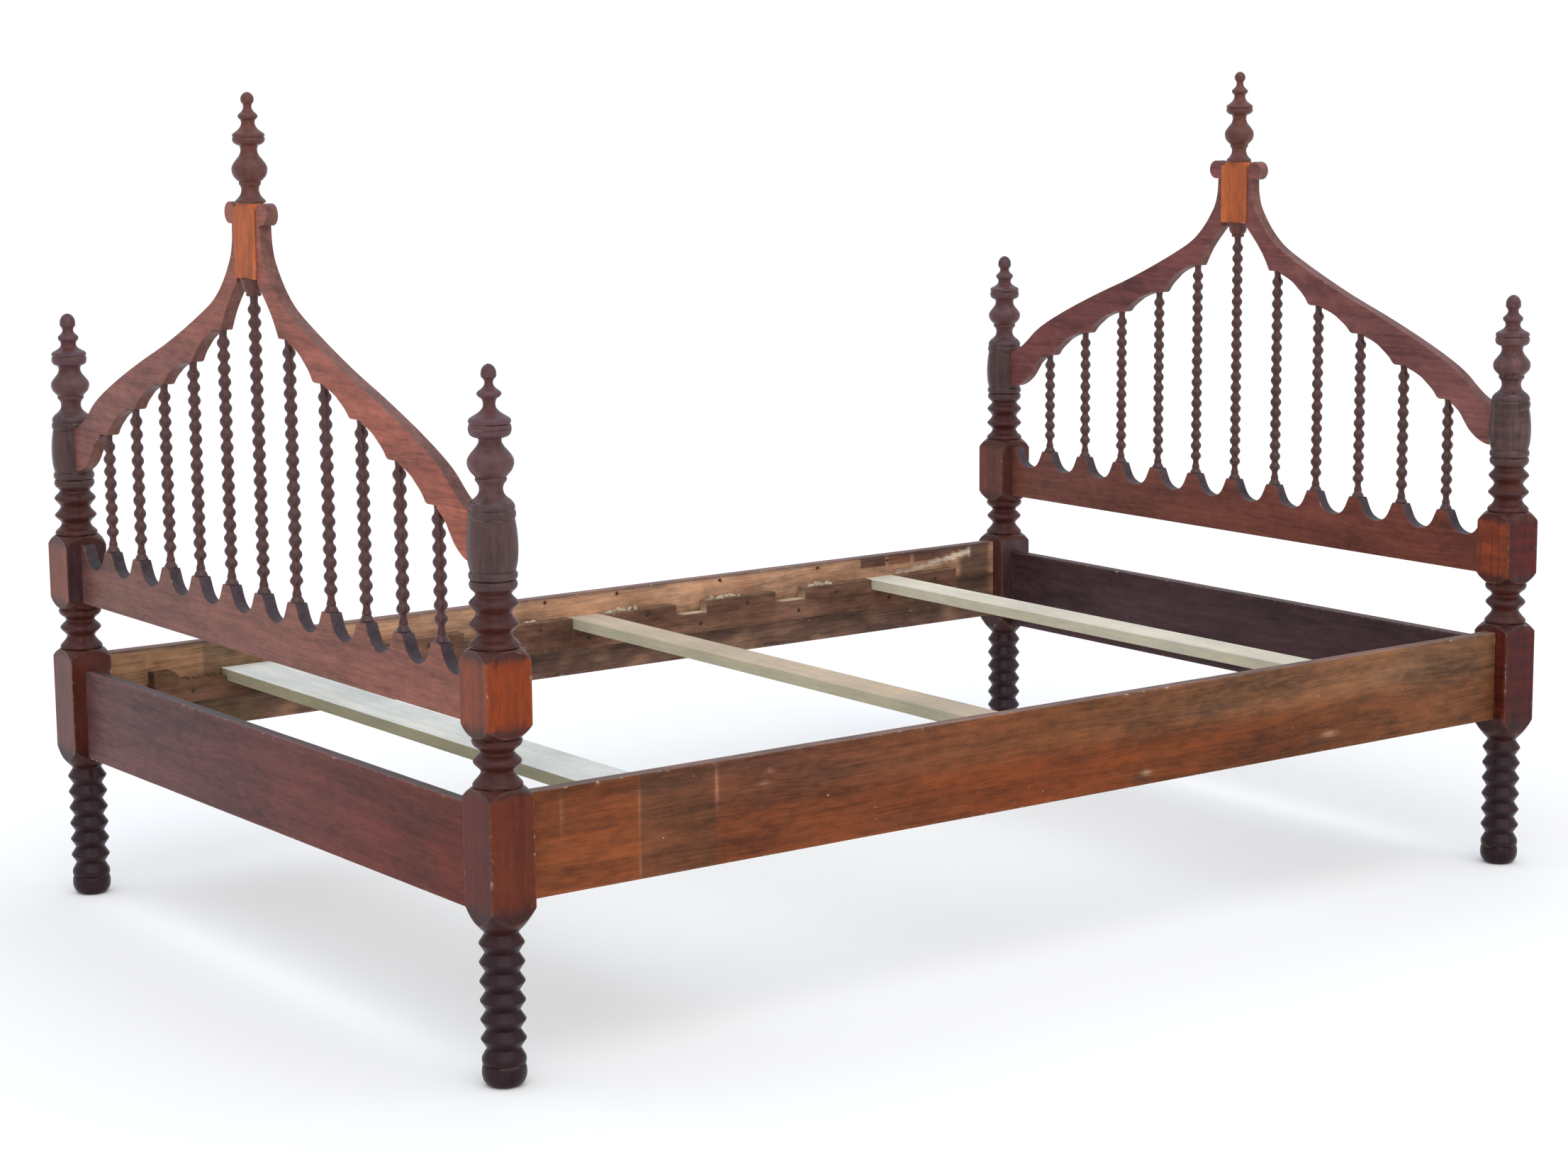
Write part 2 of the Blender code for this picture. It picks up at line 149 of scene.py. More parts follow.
def make(name, verts, faces, mat, body="frame", replaces=(), slot=None, attrs=None, angle=28):
    """Mesh piece from millimetre vertices; attrs are per-vertex values the materials read."""
    mesh = bpy.data.meshes.new(name)
    v = np.asarray(verts, float) * MM
    mesh.from_pydata([tuple(p) for p in v], [], [tuple(int(i) for i in f) for f in faces])
    for key, values in (attrs or {}).items():
        values = np.asarray(values, np.float32)
        if values.ndim == 1:
            mesh.attributes.new(key, 'FLOAT', 'POINT').data.foreach_set("value", values)
        else:
            mesh.attributes.new(key, 'FLOAT_VECTOR', 'POINT').data.foreach_set("vector", values.ravel())
    mesh.validate()
    bm = bmesh.new()
    bm.from_mesh(mesh)
    bmesh.ops.recalc_face_normals(bm, faces=bm.faces)
    bm.to_mesh(mesh)
    bm.free()
    ob = bpy.data.objects.new(name, mesh)
    scene.collection.objects.link(ob)
    ob["soft_angle"] = angle
    if mat:
        mesh.materials.append(mat)
    if body:
        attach(ob, body)
    if replaces:
        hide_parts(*replaces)
    return ob


def smooth(ob):
    mesh = ob.data
    mesh.shade_smooth()
    mesh.set_sharp_from_angle(angle=math.radians(ob["soft_angle"]))
    mod = ob.modifiers.new("weighted", 'WEIGHTED_NORMAL')
    mod.keep_sharp = True
    mod.weight = 60


def boolean(ob, others, how):
    """Boolean with closed helper meshes, applied at once."""
    for other in others:
        mod = ob.modifiers.new("cut", 'BOOLEAN')
        mod.operation = how
        mod.solver = 'EXACT'
        mod.object = other
        bpy.context.view_layer.update()
        deps = bpy.context.evaluated_depsgraph_get()
        mesh = bpy.data.meshes.new_from_object(ob.evaluated_get(deps), preserve_all_data_layers=True, depsgraph=deps)
        ob.modifiers.remove(mod)
        old = ob.data
        name = old.name
        ob.data = mesh
        bpy.data.meshes.remove(old)
        mesh.name = name
        mesh.materials.clear()
        for m in ob.get("mats", []) or []:
            mesh.materials.append(bpy.data.materials[m])
        tool = other.data
        bpy.data.objects.remove(other, do_unlink=True)
        bpy.data.meshes.remove(tool)


def block_tool(*corners):
    """Helper mesh of one or more separate boxes, given as (lo, hi) in millimetres."""
    verts, faces = [], []
    for lo, hi in corners:
        lo, hi = np.minimum(lo, hi), np.maximum(lo, hi)
        n = len(verts)
        for i in range(8):
            verts.append([hi[0] if i & 1 else lo[0], hi[1] if i & 2 else lo[1], hi[2] if i & 4 else lo[2]])
        faces += [[n + i for i in f] for f in ((0, 2, 3, 1), (4, 5, 7, 6), (0, 1, 5, 4), (2, 6, 7, 3), (0, 4, 6, 2), (1, 3, 7, 5))]
    return make("tool", verts, faces, None, body=None)


def rod_tool(centre, radius, length, sides=16):
    verts, faces = [], []
    for e in (-1, 1):
        for i in range(sides):
            a = math.tau * i / sides
            verts.append([centre[0] + radius * math.cos(a), centre[1] + e * length / 2, centre[2] + radius * math.sin(a)])
    for i in range(sides):
        j = (i + 1) % sides
        faces.append([i, j, sides + j, sides + i])
    faces.append(list(range(sides))[::-1])
    faces.append(list(range(sides, 2 * sides)))
    return make("tool", verts, faces, None, body=None)


def grid_faces(rows, cols):
    """Quads of a closed tube of rows x cols vertices."""
    out = []
    for i in range(rows - 1):
        for j in range(cols):
            k = (j + 1) % cols
            out.append((i * cols + j, i * cols + k, (i + 1) * cols + k, (i + 1) * cols + j))
    return out


def lathe(name, zr, where, mat, sides=48, dust_and_shade=(), seed=0.0, **kw):
    """Turned piece; zr is a dense (z, r) line from the bottom to the top, closed at both ends."""
    zr = [(z, max(r, 0.0)) for z, r in zr]
    body = [(z, r) for z, r in zr if r > 1e-6]
    cav = cavity(body)
    ang = np.arange(sides) * math.tau / sides
    verts, cavs, dusts_and_shade = [], [], []
    for (z, r), c in zip(body, cav):
        verts += [[where[0] + r * math.cos(a), where[1] + r * math.sin(a), z] for a in ang]
        cavs += [c] * sides
        d = max([math.exp(-((z - q) / 0.7) ** 2) for q in dust_and_shade] or [0.0])
        dusts_and_shade += [d] * sides
    faces = grid_faces(len(body), sides)
    for z, ring, flip in ((zr[0][0], 0, True), (zr[-1][0], len(body) - 1, False)):
        n = len(verts)
        verts.append([where[0], where[1], z])
        cavs.append(cav[0] if flip else cav[-1])
        dusts_and_shade.append(0.0)
        for j in range(sides):
            k = (j + 1) % sides
            a, b = ring * sides + j, ring * sides + k
            faces.append((n, b, a) if flip else (n, a, b))
    n = len(verts)
    return make(name, verts, faces, mat, attrs={"cav": cavs, "dust_and_shade": dusts_and_shade, "seed": [seed] * n}, **kw)


# ---------------------------------------------------------------- materials
class Nodes:
    """Small helper to write node graphs."""

    def __init__(self, name):
        self.mat = bpy.data.materials.new(name)
        self.mat.use_nodes = True
        self.tree = self.mat.node_tree
        self.bsdf = self.tree.nodes["Principled BSDF"]

    def new(self, kind, **props):
        node = self.tree.nodes.new(kind)
        for k, v in props.items():
            setattr(node, k, v)
        return node

    def put(self, socket, value):
        if isinstance(value, bpy.types.NodeSocket):
            self.tree.links.new(value, socket)
        elif value is not None:
            socket.default_value = value

    def math(self, op, a, b=None, c=None, clamp=False):
        n = self.new("ShaderNodeMath", operation=op, use_clamp=clamp)
        for s, v in zip(n.inputs, (a, b, c)):
            self.put(s, v)
        return n.outputs[0]

    def vec(self, op, a, b=None, c=None):
        n = self.new("ShaderNodeVectorMath", operation=op)
        for s, v in zip(n.inputs, (a, b, c)):
            self.put(s, v)
        return n.outputs[0]

    def mix(self, fac, a, b, blend='MIX'):
        n = self.new("ShaderNodeMix", data_type='RGBA', blend_type=blend)
        n.clamp_factor = True
        self.put(n.inputs[0], fac)
        self.put(n.inputs[6], a)
        self.put(n.inputs[7], b)
        return n.outputs[2]

    def ramp(self, fac, stops, mode='LINEAR'):
        n = self.new("ShaderNodeValToRGB")
        n.color_ramp.interpolation = mode
        els = n.color_ramp.elements
        while len(els) < len(stops):
            els.new(0.5)
        for e, (p, c) in zip(els, stops):
            e.position = p
            e.color = c if hasattr(c, "__len__") else (c, c, c, 1)
        self.put(n.inputs[0], fac)
        return n.outputs[0]

    def steps(self, value, lo, hi, to_lo=0.0, to_hi=1.0):
        n = self.new("ShaderNodeMapRange", interpolation_type='SMOOTHSTEP')
        for s, v in zip(n.inputs, (value, lo, hi, to_lo, to_hi)):
            self.put(s, v)
        return n.outputs[0]

    def noise(self, where, detail=4.0, rough=0.55, scale=1.0, distort=0.0):
        n = self.new("ShaderNodeTexNoise", noise_dimensions='3D')
        self.put(n.inputs["Vector"], where)
        n.inputs["Scale"].default_value = scale
        n.inputs["Detail"].default_value = detail
        n.inputs["Roughness"].default_value = rough
        n.inputs["Distortion"].default_value = distort
        return n.outputs[0]

    def attr(self, name, vector=False):
        n = self.new("ShaderNodeAttribute", attribute_type='GEOMETRY', attribute_name=name)
        return n.outputs["Vector" if vector else "Fac"]


def stretched(axis, along, across):
    """Scale with the grain running along an axis, in repeats per metre."""
    s = [across] * 3
    s["XYZ".index(axis)] = along
    return tuple(s)


def wood(name, axis, base, contrast=0.34, warm=0.0, hollow=None, crest_sheen=None, bare=(150, 100, 70), rough=0.42, wear=1.0,
         curl=0.0, blotch=0.35, coarse=1.0, pores=0.4, bump=0.25, coat=0.0, specks=0.0, shift=(0, 0, 0), spec=0.22,
         fleck=(196, 182, 168), fine_part=0.5, mottled=0.5):
    """Stained and worn wood with grain along one axis, in the piece's own coordinates."""
    n = Nodes(name)
    c0 = lin(base)
    dark = tuple(c0 * (1 - contrast) * (1 - 0.1 * warm, 1, 1)) + (1.0,)
    light = tuple(np.minimum(c0 * (1 + contrast) * (1 + 0.2 * warm, 1 + 0.1 * warm, 1 - 0.1 * warm), 0.95)) + (1.0,)
    place = n.new("ShaderNodeTexCoord").outputs["Object"]
    seed = n.attr("seed")
    off = n.new("ShaderNodeCombineXYZ")
    n.put(off.inputs[0], n.math('MULTIPLY', seed, 3.17))
    n.put(off.inputs[1], n.math('MULTIPLY', seed, 1.73))
    n.put(off.inputs[2], n.math('MULTIPLY', seed, 5.31))
    p = n.vec('ADD', n.vec('ADD', place, off.outputs[0]), tuple(shift))
    # slow bend of the grain lines
    bend = n.noise(n.vec('MULTIPLY', p, stretched(axis, 1.8, 5.0)), detail=2.0)
    push = n.new("ShaderNodeCombineXYZ")
    for i, a in enumerate("XYZ"):
        n.put(push.inputs[i], 0.0 if a == axis else n.math('MULTIPLY', bend, 0.05))
    q = n.vec('ADD', p, push.outputs[0])
    fine = n.noise(n.vec('MULTIPLY', q, stretched(axis, 9.0, 330.0 * coarse)), detail=5.0, rough=0.62)
    broad = n.noise(n.vec('MULTIPLY', q, stretched(axis, 2.2, 52.0 * coarse)), detail=4.0, rough=0.55, distort=0.3)
    cloud = n.noise(n.vec('MULTIPLY', p, stretched(axis, 5.0, 13.0)), detail=3.0, rough=0.6)
    fac = n.math('ADD', n.math('MULTIPLY', fine, fine_part), n.math('MULTIPLY', broad, 1 - fine_part))
    fac = n.math('ADD', fac, n.math('MULTIPLY', n.math('SUBTRACT', cloud, 0.5), blotch))
    mottle = n.noise(n.vec('MULTIPLY', p, stretched(axis, 38.0, 105.0)), detail=5.0, rough=0.68)
    fac = n.math('ADD', fac, n.math('MULTIPLY', n.math('SUBTRACT', mottle, 0.5), mottled))
    if curl:
        wave = n.noise(n.vec('MULTIPLY', p, stretched(axis, 75.0, 11.0)), detail=2.0, rough=0.5)
        fac = n.math('ADD', fac, n.math('MULTIPLY', n.math('SUBTRACT', wave, 0.5), curl))
    colour = n.ramp(fac, [(0.30, dark), (0.50, tuple(c0) + (1.0,)), (0.70, light)])
    # open pores
    pore = n.noise(n.vec('MULTIPLY', q, stretched(axis, 34.0, 1150.0)), detail=2.0, rough=0.5)
    pore = n.steps(pore, 0.60, 0.72)
    colour = n.mix(n.math('MULTIPLY', pore, pores), colour, tuple(c0 * 0.45) + (1.0,))
    # turned hollows take the hollow colour; the colour given to the crests is a painted bluish sky reflection
    cav = n.attr("cav")
    if hollow:
        colour = n.mix(n.steps(n.math('MULTIPLY', cav, -1.0), 0.15, 0.95, 0.0, 0.6), colour, srgb(*hollow))
    if crest_sheen:
        colour = n.mix(n.steps(cav, 0.15, 0.95, 0.0, 0.6), colour, srgb(*crest_sheen))
    # colour variation from the mesh: stains, and in places painted shade, a painted shadow and a painted sky sheen
    tint = n.attr("tint", vector=True)
    colour = n.vec('MULTIPLY_ADD', colour, tint, colour)
    # wear along arrises
    edge = n.attr("wear")
    chips = n.noise(n.vec('MULTIPLY', p, (85.0, 85.0, 85.0)), detail=4.0, rough=0.7)
    where = n.noise(n.vec('MULTIPLY', p, (9.0, 9.0, 9.0)), detail=2.0)
    where = n.steps(where, 0.44, 0.62)
    rub = n.math('MULTIPLY', edge, n.math('MULTIPLY', where, n.steps(chips, 0.57, 0.68)), clamp=True)
    soft = n.math('MULTIPLY', edge, n.steps(chips, 0.35, 0.75, 0.05, 0.40), clamp=True)
    colour = n.mix(n.math('MULTIPLY', soft, wear, clamp=True), colour, srgb(*bare))
    colour = n.mix(n.math('MULTIPLY', rub, wear * 0.75, clamp=True), colour, srgb(*fleck))
    # Dust held in grooves, in pale patches, over a dark line along each groove: painted shade in the crease together
    # with dark staining held there
    dust_and_shade = n.attr("dust_and_shade")
    grey = n.math('MULTIPLY', dust_and_shade, n.steps(n.noise(n.vec('MULTIPLY', p, (45.0, 45.0, 45.0)), detail=2.0), 0.42, 0.66), clamp=True)
    colour = n.mix(n.math('MULTIPLY', dust_and_shade, 0.75, clamp=True), colour, srgb(34, 20, 17))
    colour = n.mix(n.math('MULTIPLY', grey, 0.3), colour, srgb(170, 146, 124))
    if specks:
        dots = n.new("ShaderNodeTexVoronoi", feature='F1')
        n.put(dots.inputs["Vector"], p)
        dots.inputs["Scale"].default_value = 62.0
        near = n.steps(dots.outputs["Distance"], 0.04, 0.09, 1.0, 0.0)
        some = n.steps(n.noise(n.vec('MULTIPLY', p, (8.0, 8.0, 8.0)), detail=2.0), 0.58, 0.66)
        colour = n.mix(n.math('MULTIPLY', n.math('MULTIPLY', near, some), specks), colour, srgb(205, 200, 190))
    n.put(n.bsdf.inputs["Base Color"], colour)
    r = n.math('ADD', rough - 0.1, n.math('MULTIPLY', cloud, 0.2))
    r = n.math('ADD', r, n.math('MULTIPLY', pore, 0.1))
    r = n.math('ADD', r, n.math('MULTIPLY', n.math('MAXIMUM', soft, grey), 0.25), clamp=True)
    n.put(n.bsdf.inputs["Roughness"], r)
    n.bsdf.inputs["Coat Weight"].default_value = coat
    n.bsdf.inputs["Coat Roughness"].default_value = 0.25
    n.bsdf.inputs["Specular IOR Level"].default_value = spec
    height = n.math('ADD', n.math('MULTIPLY', fine, 0.6), n.math('MULTIPLY', pore, -0.5))
    height = n.math('ADD', height, n.math('MULTIPLY', rub, -0.8))
    b = n.new("ShaderNodeBump")
    b.inputs["Strength"].default_value = bump
    b.inputs["Distance"].default_value = 0.0006
    n.put(b.inputs["Height"], height)
    n.put(n.bsdf.inputs["Normal"], b.outputs[0])
    return n.mat


POST_BASE = (92, 48, 36)
ARCH_BASE, GALLERY_BASE = (118, 76, 64), (108, 70, 60)
END_RAIL_BASE, SIDE_RAIL_BASE, LEDGER_BASE = (88, 58, 54), (112, 66, 44), (66, 48, 38)
SLAT_BASE = (190, 182, 160)
MAT = {
    # the colours given to the crests of the turned woods are a painted bluish sky reflection
    "post": wood("post_stain", 'Z', POST_BASE, contrast=0.36, curl=0.12, hollow=(86, 38, 26), crest_sheen=(92, 52, 45), rough=0.31, spec=0.19, bump=0.12, fine_part=0.4, coarse=0.7, mottled=0.6),
    "post_curly": wood("post_stain_curly", 'Z', POST_BASE, contrast=0.50, warm=0.6, hollow=(92, 42, 28), crest_sheen=(92, 50, 42), curl=0.6, rough=0.31, spec=0.19, bump=0.14),
    "spindle": wood("spindle_stain", 'Z', (74, 40, 37), contrast=0.34, hollow=(92, 40, 28), crest_sheen=(66, 40, 42), rough=0.28, pores=0.2, spec=0.4, bump=0.1),
    "finial": wood("finial_stain", 'Z', (96, 56, 48), contrast=0.30, hollow=(108, 58, 42), crest_sheen=(90, 54, 50), rough=0.34, spec=0.26, bump=0.12),
    "block": wood("block_stain", 'Z', (169, 88, 49), spec=0.12, contrast=0.36, rough=0.45, bare=(190, 130, 90), warm=0.3),
    "arch": wood("arch_stain", 'Y', ARCH_BASE, contrast=0.46, rough=0.42, spec=0.14, bare=(150, 104, 84), blotch=0.5),
    "gallery": wood("gallery_stain", 'Y', GALLERY_BASE, contrast=0.46, rough=0.42, spec=0.14, bare=(146, 100, 80), blotch=0.5),
    "end_rail": wood("end_rail_stain", 'Y', END_RAIL_BASE, contrast=0.44, rough=0.42, spec=0.12, blotch=0.6, bare=(140, 96, 78)),
    "side_rail": wood("side_rail_stain", 'X', SIDE_RAIL_BASE, contrast=0.52, rough=0.5, blotch=0.65, specks=0.8, spec=0.15, bare=(150, 108, 80), warm=0.3),
    "ledger": wood("ledger_wood", 'X', LEDGER_BASE, contrast=0.5, rough=0.8, spec=0.08, bare=(120, 96, 76), fleck=(170, 150, 130), blotch=0.8, bump=0.6, pores=0.6),
    "slat": wood("slat_pine", 'Y', SLAT_BASE, contrast=0.10, rough=0.75, spec=0.12, pores=0.10, wear=0.3, bare=(214, 206, 186), fleck=(226, 220, 206), blotch=0.5, warm=0.5),
}


def steel():
    n = Nodes("old_steel")
    p = n.new("ShaderNodeTexCoord").outputs["Object"]
    a = n.noise(n.vec('MULTIPLY', p, (60.0, 60.0, 60.0)), detail=5.0, rough=0.65)
    b = n.noise(n.vec('MULTIPLY', p, (400.0, 400.0, 400.0)), detail=3.0)
    rust = n.steps(a, 0.46, 0.62)
    n.put(n.bsdf.inputs["Base Color"], n.mix(rust, srgb(58, 52, 48), srgb(62, 38, 26)))
    n.put(n.bsdf.inputs["Metallic"], n.math('SUBTRACT', 0.8, n.math('MULTIPLY', rust, 0.7)))
    n.put(n.bsdf.inputs["Roughness"], n.math('ADD', 0.42, n.math('MULTIPLY', rust, 0.35)))
    bump = n.new("ShaderNodeBump")
    bump.inputs["Strength"].default_value = 0.3
    bump.inputs["Distance"].default_value = 0.0004
    n.put(bump.inputs["Height"], n.math('ADD', a, n.math('MULTIPLY', b, 0.4)))
    n.put(n.bsdf.inputs["Normal"], bump.outputs[0])
    return n.mat


MAT["steel"] = steel()

# ---------------------------------------------------------------- posts
ARRIS = 1.0


def perimeter(divisions=12, arc=3):
    """Points round a square block with slightly worn corners, and how close each is to a corner."""
    h, rc = HALF, ARRIS
    face = [-(h - rc), -(h - rc) + 2.5] + list(np.linspace(-(h - rc) + 6.5, (h - rc) - 6.5, divisions - 3)) + [(h - rc) - 2.5, (h - rc)]
    pts, worn = [], []
    for q in range(4):
        c, s = math.cos(q * math.pi / 2), math.sin(q * math.pi / 2)
        side = [(h, t, 0.55 if abs(t) > h - rc - 0.01 else (0.12 if abs(t) > h - rc - 2.6 else 0.0)) for t in face]
        side += [(h - rc + rc * math.cos(a), h - rc + rc * math.sin(a), 1.0) for a in (math.pi / 2 * i / (arc + 1) for i in range(1, arc + 1))]
        for x, y, w in side:
            pts.append((x * c - y * s, x * s + y * c))
            worn.append(w)
    return np.array(pts), np.array(worn)


RIM, RIM_WEAR = perimeter()
RIM_R = np.hypot(RIM[:, 0], RIM[:, 1])
RIM_DIR = RIM / RIM_R[:, None]


def leg_line():
    s = [(0, 20.0, 1), (2.0, 23.6), (6.0, 27.0), (12, 29.3), (18, 29.9), (24, 29.4), (27.4, 28.3), (28.4, 27.2, 1), (29.6, 28.6), (33, 29.4), (37.5, 29.3), (42, 27.2), (46, 24.9), (50, 22.6, 1)]
    for k in range(6):
        z = 50 + 25.8 * k
        s += [(z + 2.2, 23.7), (z + 6.2, 26.2), (z + 9.8, 28.6), (z + 11.8, 29.9), (z + 12.9, 30.2), (z + 14.0, 29.9), (z + 16.0, 28.6), (z + 19.6, 26.2), (z + 23.6, 23.7), (z + 25.8, 22.6, 1)]
    s += [(208, 24, 1)]
    return s


LOW_SHOULDER = [(208, 24, 1), (214, 30), (220, 35), (230, 42), (236, 45.6), (242, 49.5, 1)]
LOW_TOP = [(383, 49.5, 1), (389, 45), (394.5, 39.6), (399.4, 33.2, 1)]
WAIST = [(399.4, 33.2, 1), (400.0, 31.4, 1), (401.0, 32.6), (402.8, 33.1), (405.4, 31.8), (411.5, 26.4), (416.5, 22.8), (419.6, 21.9), (422.6, 23.2), (427.2, 27.8),
         (430.8, 31.0), (433, 31.9), (435.2, 31.0), (438.8, 27.8), (442.8, 23.6), (445.4, 22.2), (449.0, 24.4), (453.8, 30.2), (457.5, 32.7), (461.5, 33.0), (463.6, 31.2, 1)]
HIGH_SHOULDER = [(463.6, 31.2, 1), (470, 38.5), (476, 44), (484, 49.5, 1)]
HIGH_TOP = [(563, 49.5, 1), (569.5, 45), (575.5, 40), (581.3, 33.4, 1)]
UPPER = [(581.3, 33.4, 1), (581.9, 31.0, 1), (583.0, 32.6), (585.0, 33.0), (588, 31.4), (593.5, 25.6), (597.6, 23.2), (600.2, 22.7), (602.8, 24.0), (607.0, 28.2),
         (610.4, 31.5), (612.5, 32.5), (614.6, 31.5), (618.4, 28.0), (622.8, 24.4), (626, 23.2), (629.2, 24.6), (633.6, 28.2), (637.2, 31.2), (639.5, 32.2), (641.8, 31.2),
         (645.6, 27.8), (648.9, 24.6), (651.5, 23.6), (654.8, 25.8), (659, 29.9), (664, 31.4), (668, 30.2), (669.6, 28.6, 1), (671.2, 30.6), (674.8, 31.8), (678.6, 31.3), (681.0, 29.4, 1),
         (684, 30.2), (692, 31.9), (704, 33.0), (718, 33.1), (734, 31.9), (744, 30.4), (748.4, 29.5, 1), (750, 30.5), (754.0, 31.3), (758.0, 30.6),
         (759.8, 29.4, 1), (761.6, 30.2), (765.0, 30.0), (768.6, 28.2), (770.4, 26.6, 1), (772.0, 25.2), (776.0, 20.2), (780.5, 16.8), (786, 15.4)]
SHORT_TOP = [(790.5, 15.9), (794.5, 18.0), (796.6, 20.0), (799.0, 20.5), (800.8, 19.6, 1), (803, 21.6), (809.5, 27.4), (816.5, 29.6), (822.5, 28.8),
             (829, 24.4), (835.5, 19.2), (840.5, 17.1), (844.5, 17.0), (848.2, 18.4, 1), (850.0, 23.2), (853, 26.2), (858, 27.3), (861.6, 26.7),
             (863.0, 25.6, 1), (864.4, 26.6), (867.0, 27.0), (869.6, 25.4), (873.2, 19.2), (877, 13.8), (880.4, 12.0), (883.6, 12.0), (886.4, 12.8, 1),
             (888.6, 15.0), (892, 16.1), (895.0, 14.8), (898.6, 10.8), (902.0, 8.7), (905.0, 8.5), (908.0, 9.6, 1), (910.4, 11.6), (915.5, 12.1), (921.5, 10.9),
             (926.6, 7.4), (929.3, 3.2), (930, 0)]
TALL_TOP = [(791, 16.2), (795.2, 18.8), (797.2, 20.2), (799.8, 20.5), (801.4, 19.6, 1), (803.6, 21.6), (811, 27.6), (819, 30.1), (825, 29.5), (832.5, 25.0),
            (839.5, 19.0), (845, 15.5), (848.6, 14.8), (851.4, 15.6, 1), (852.6, 20.6), (855.4, 25.4), (860, 27.6), (865, 27.8), (868.0, 27.0),
            (869.4, 25.9, 1), (870.8, 27.0), (873.6, 27.6), (876.4, 26.2), (880.4, 20.0), (885.4, 12.8), (890, 8.9), (894, 8.1), (898.6, 8.6), (901.6, 10.0, 1),
            (904.4, 14.2), (907.6, 16.1), (910.6, 14.6), (914.4, 9.6), (918.2, 6.4), (921.6, 5.5), (925.0, 6.2), (927.4, 8.0, 1), (929.0, 9.6),
            (933, 10.2), (938, 9.3), (942.6, 6.6), (945.3, 2.8), (946, 0)]
# groove heights on the posts, which take a pale dusting and a dark line of painted shade with dark staining
POST_DUST_AND_SHADE = (28.4, 400.1, 463.8, 582.0, 669.6, 681.0, 748.4, 759.8, 770.4, 800.9, 863.0, 869.4)

# Colours of the turned zones, by height: stained wood, with painted shade in the leg colour and a painted bluish sky
# sheen in the barrel and top colours; and the stained colours of the four block faces (outer X, outer Y, inner X,
# inner Y)
LEG_STAIN_AND_SHADE, LEG_TOP_STAIN = (40, 20, 26), (54, 26, 24)
WAIST_STAIN, BARREL_STAIN_AND_SHEEN, TOP_STAIN_AND_SHEEN = (68, 33, 27), (78, 57, 55), (90, 60, 59)
BLOCK_STAIN = {
    ("foot", "near", 0): ((80, 22, 12), (95, 38, 18), (84, 38, 26), (84, 38, 26)),
    ("foot", "near", 1): ((118, 50, 22), (123, 49, 14), (104, 48, 32), (96, 44, 30)),
    ("foot", "far", 0): ((91, 50, 42), (90, 44, 30), (84, 40, 30), (80, 38, 28)),
    ("foot", "far", 1): ((114, 52, 34), (98, 48, 34), (92, 44, 32), (67, 44, 46)),
    ("head", "near", 0): ((88, 38, 28), (66, 12, 8), (84, 34, 24), (80, 34, 24)),
    ("head", "near", 1): ((114, 40, 18), (70, 14, 8), (122, 52, 28), (92, 40, 28)),
    ("head", "far", 0): ((72, 46, 44), (80, 40, 32), (78, 44, 38), (70, 50, 50)),
    ("head", "far", 1): ((96, 46, 34), (92, 44, 32), (92, 44, 32), (80, 46, 42)),
}


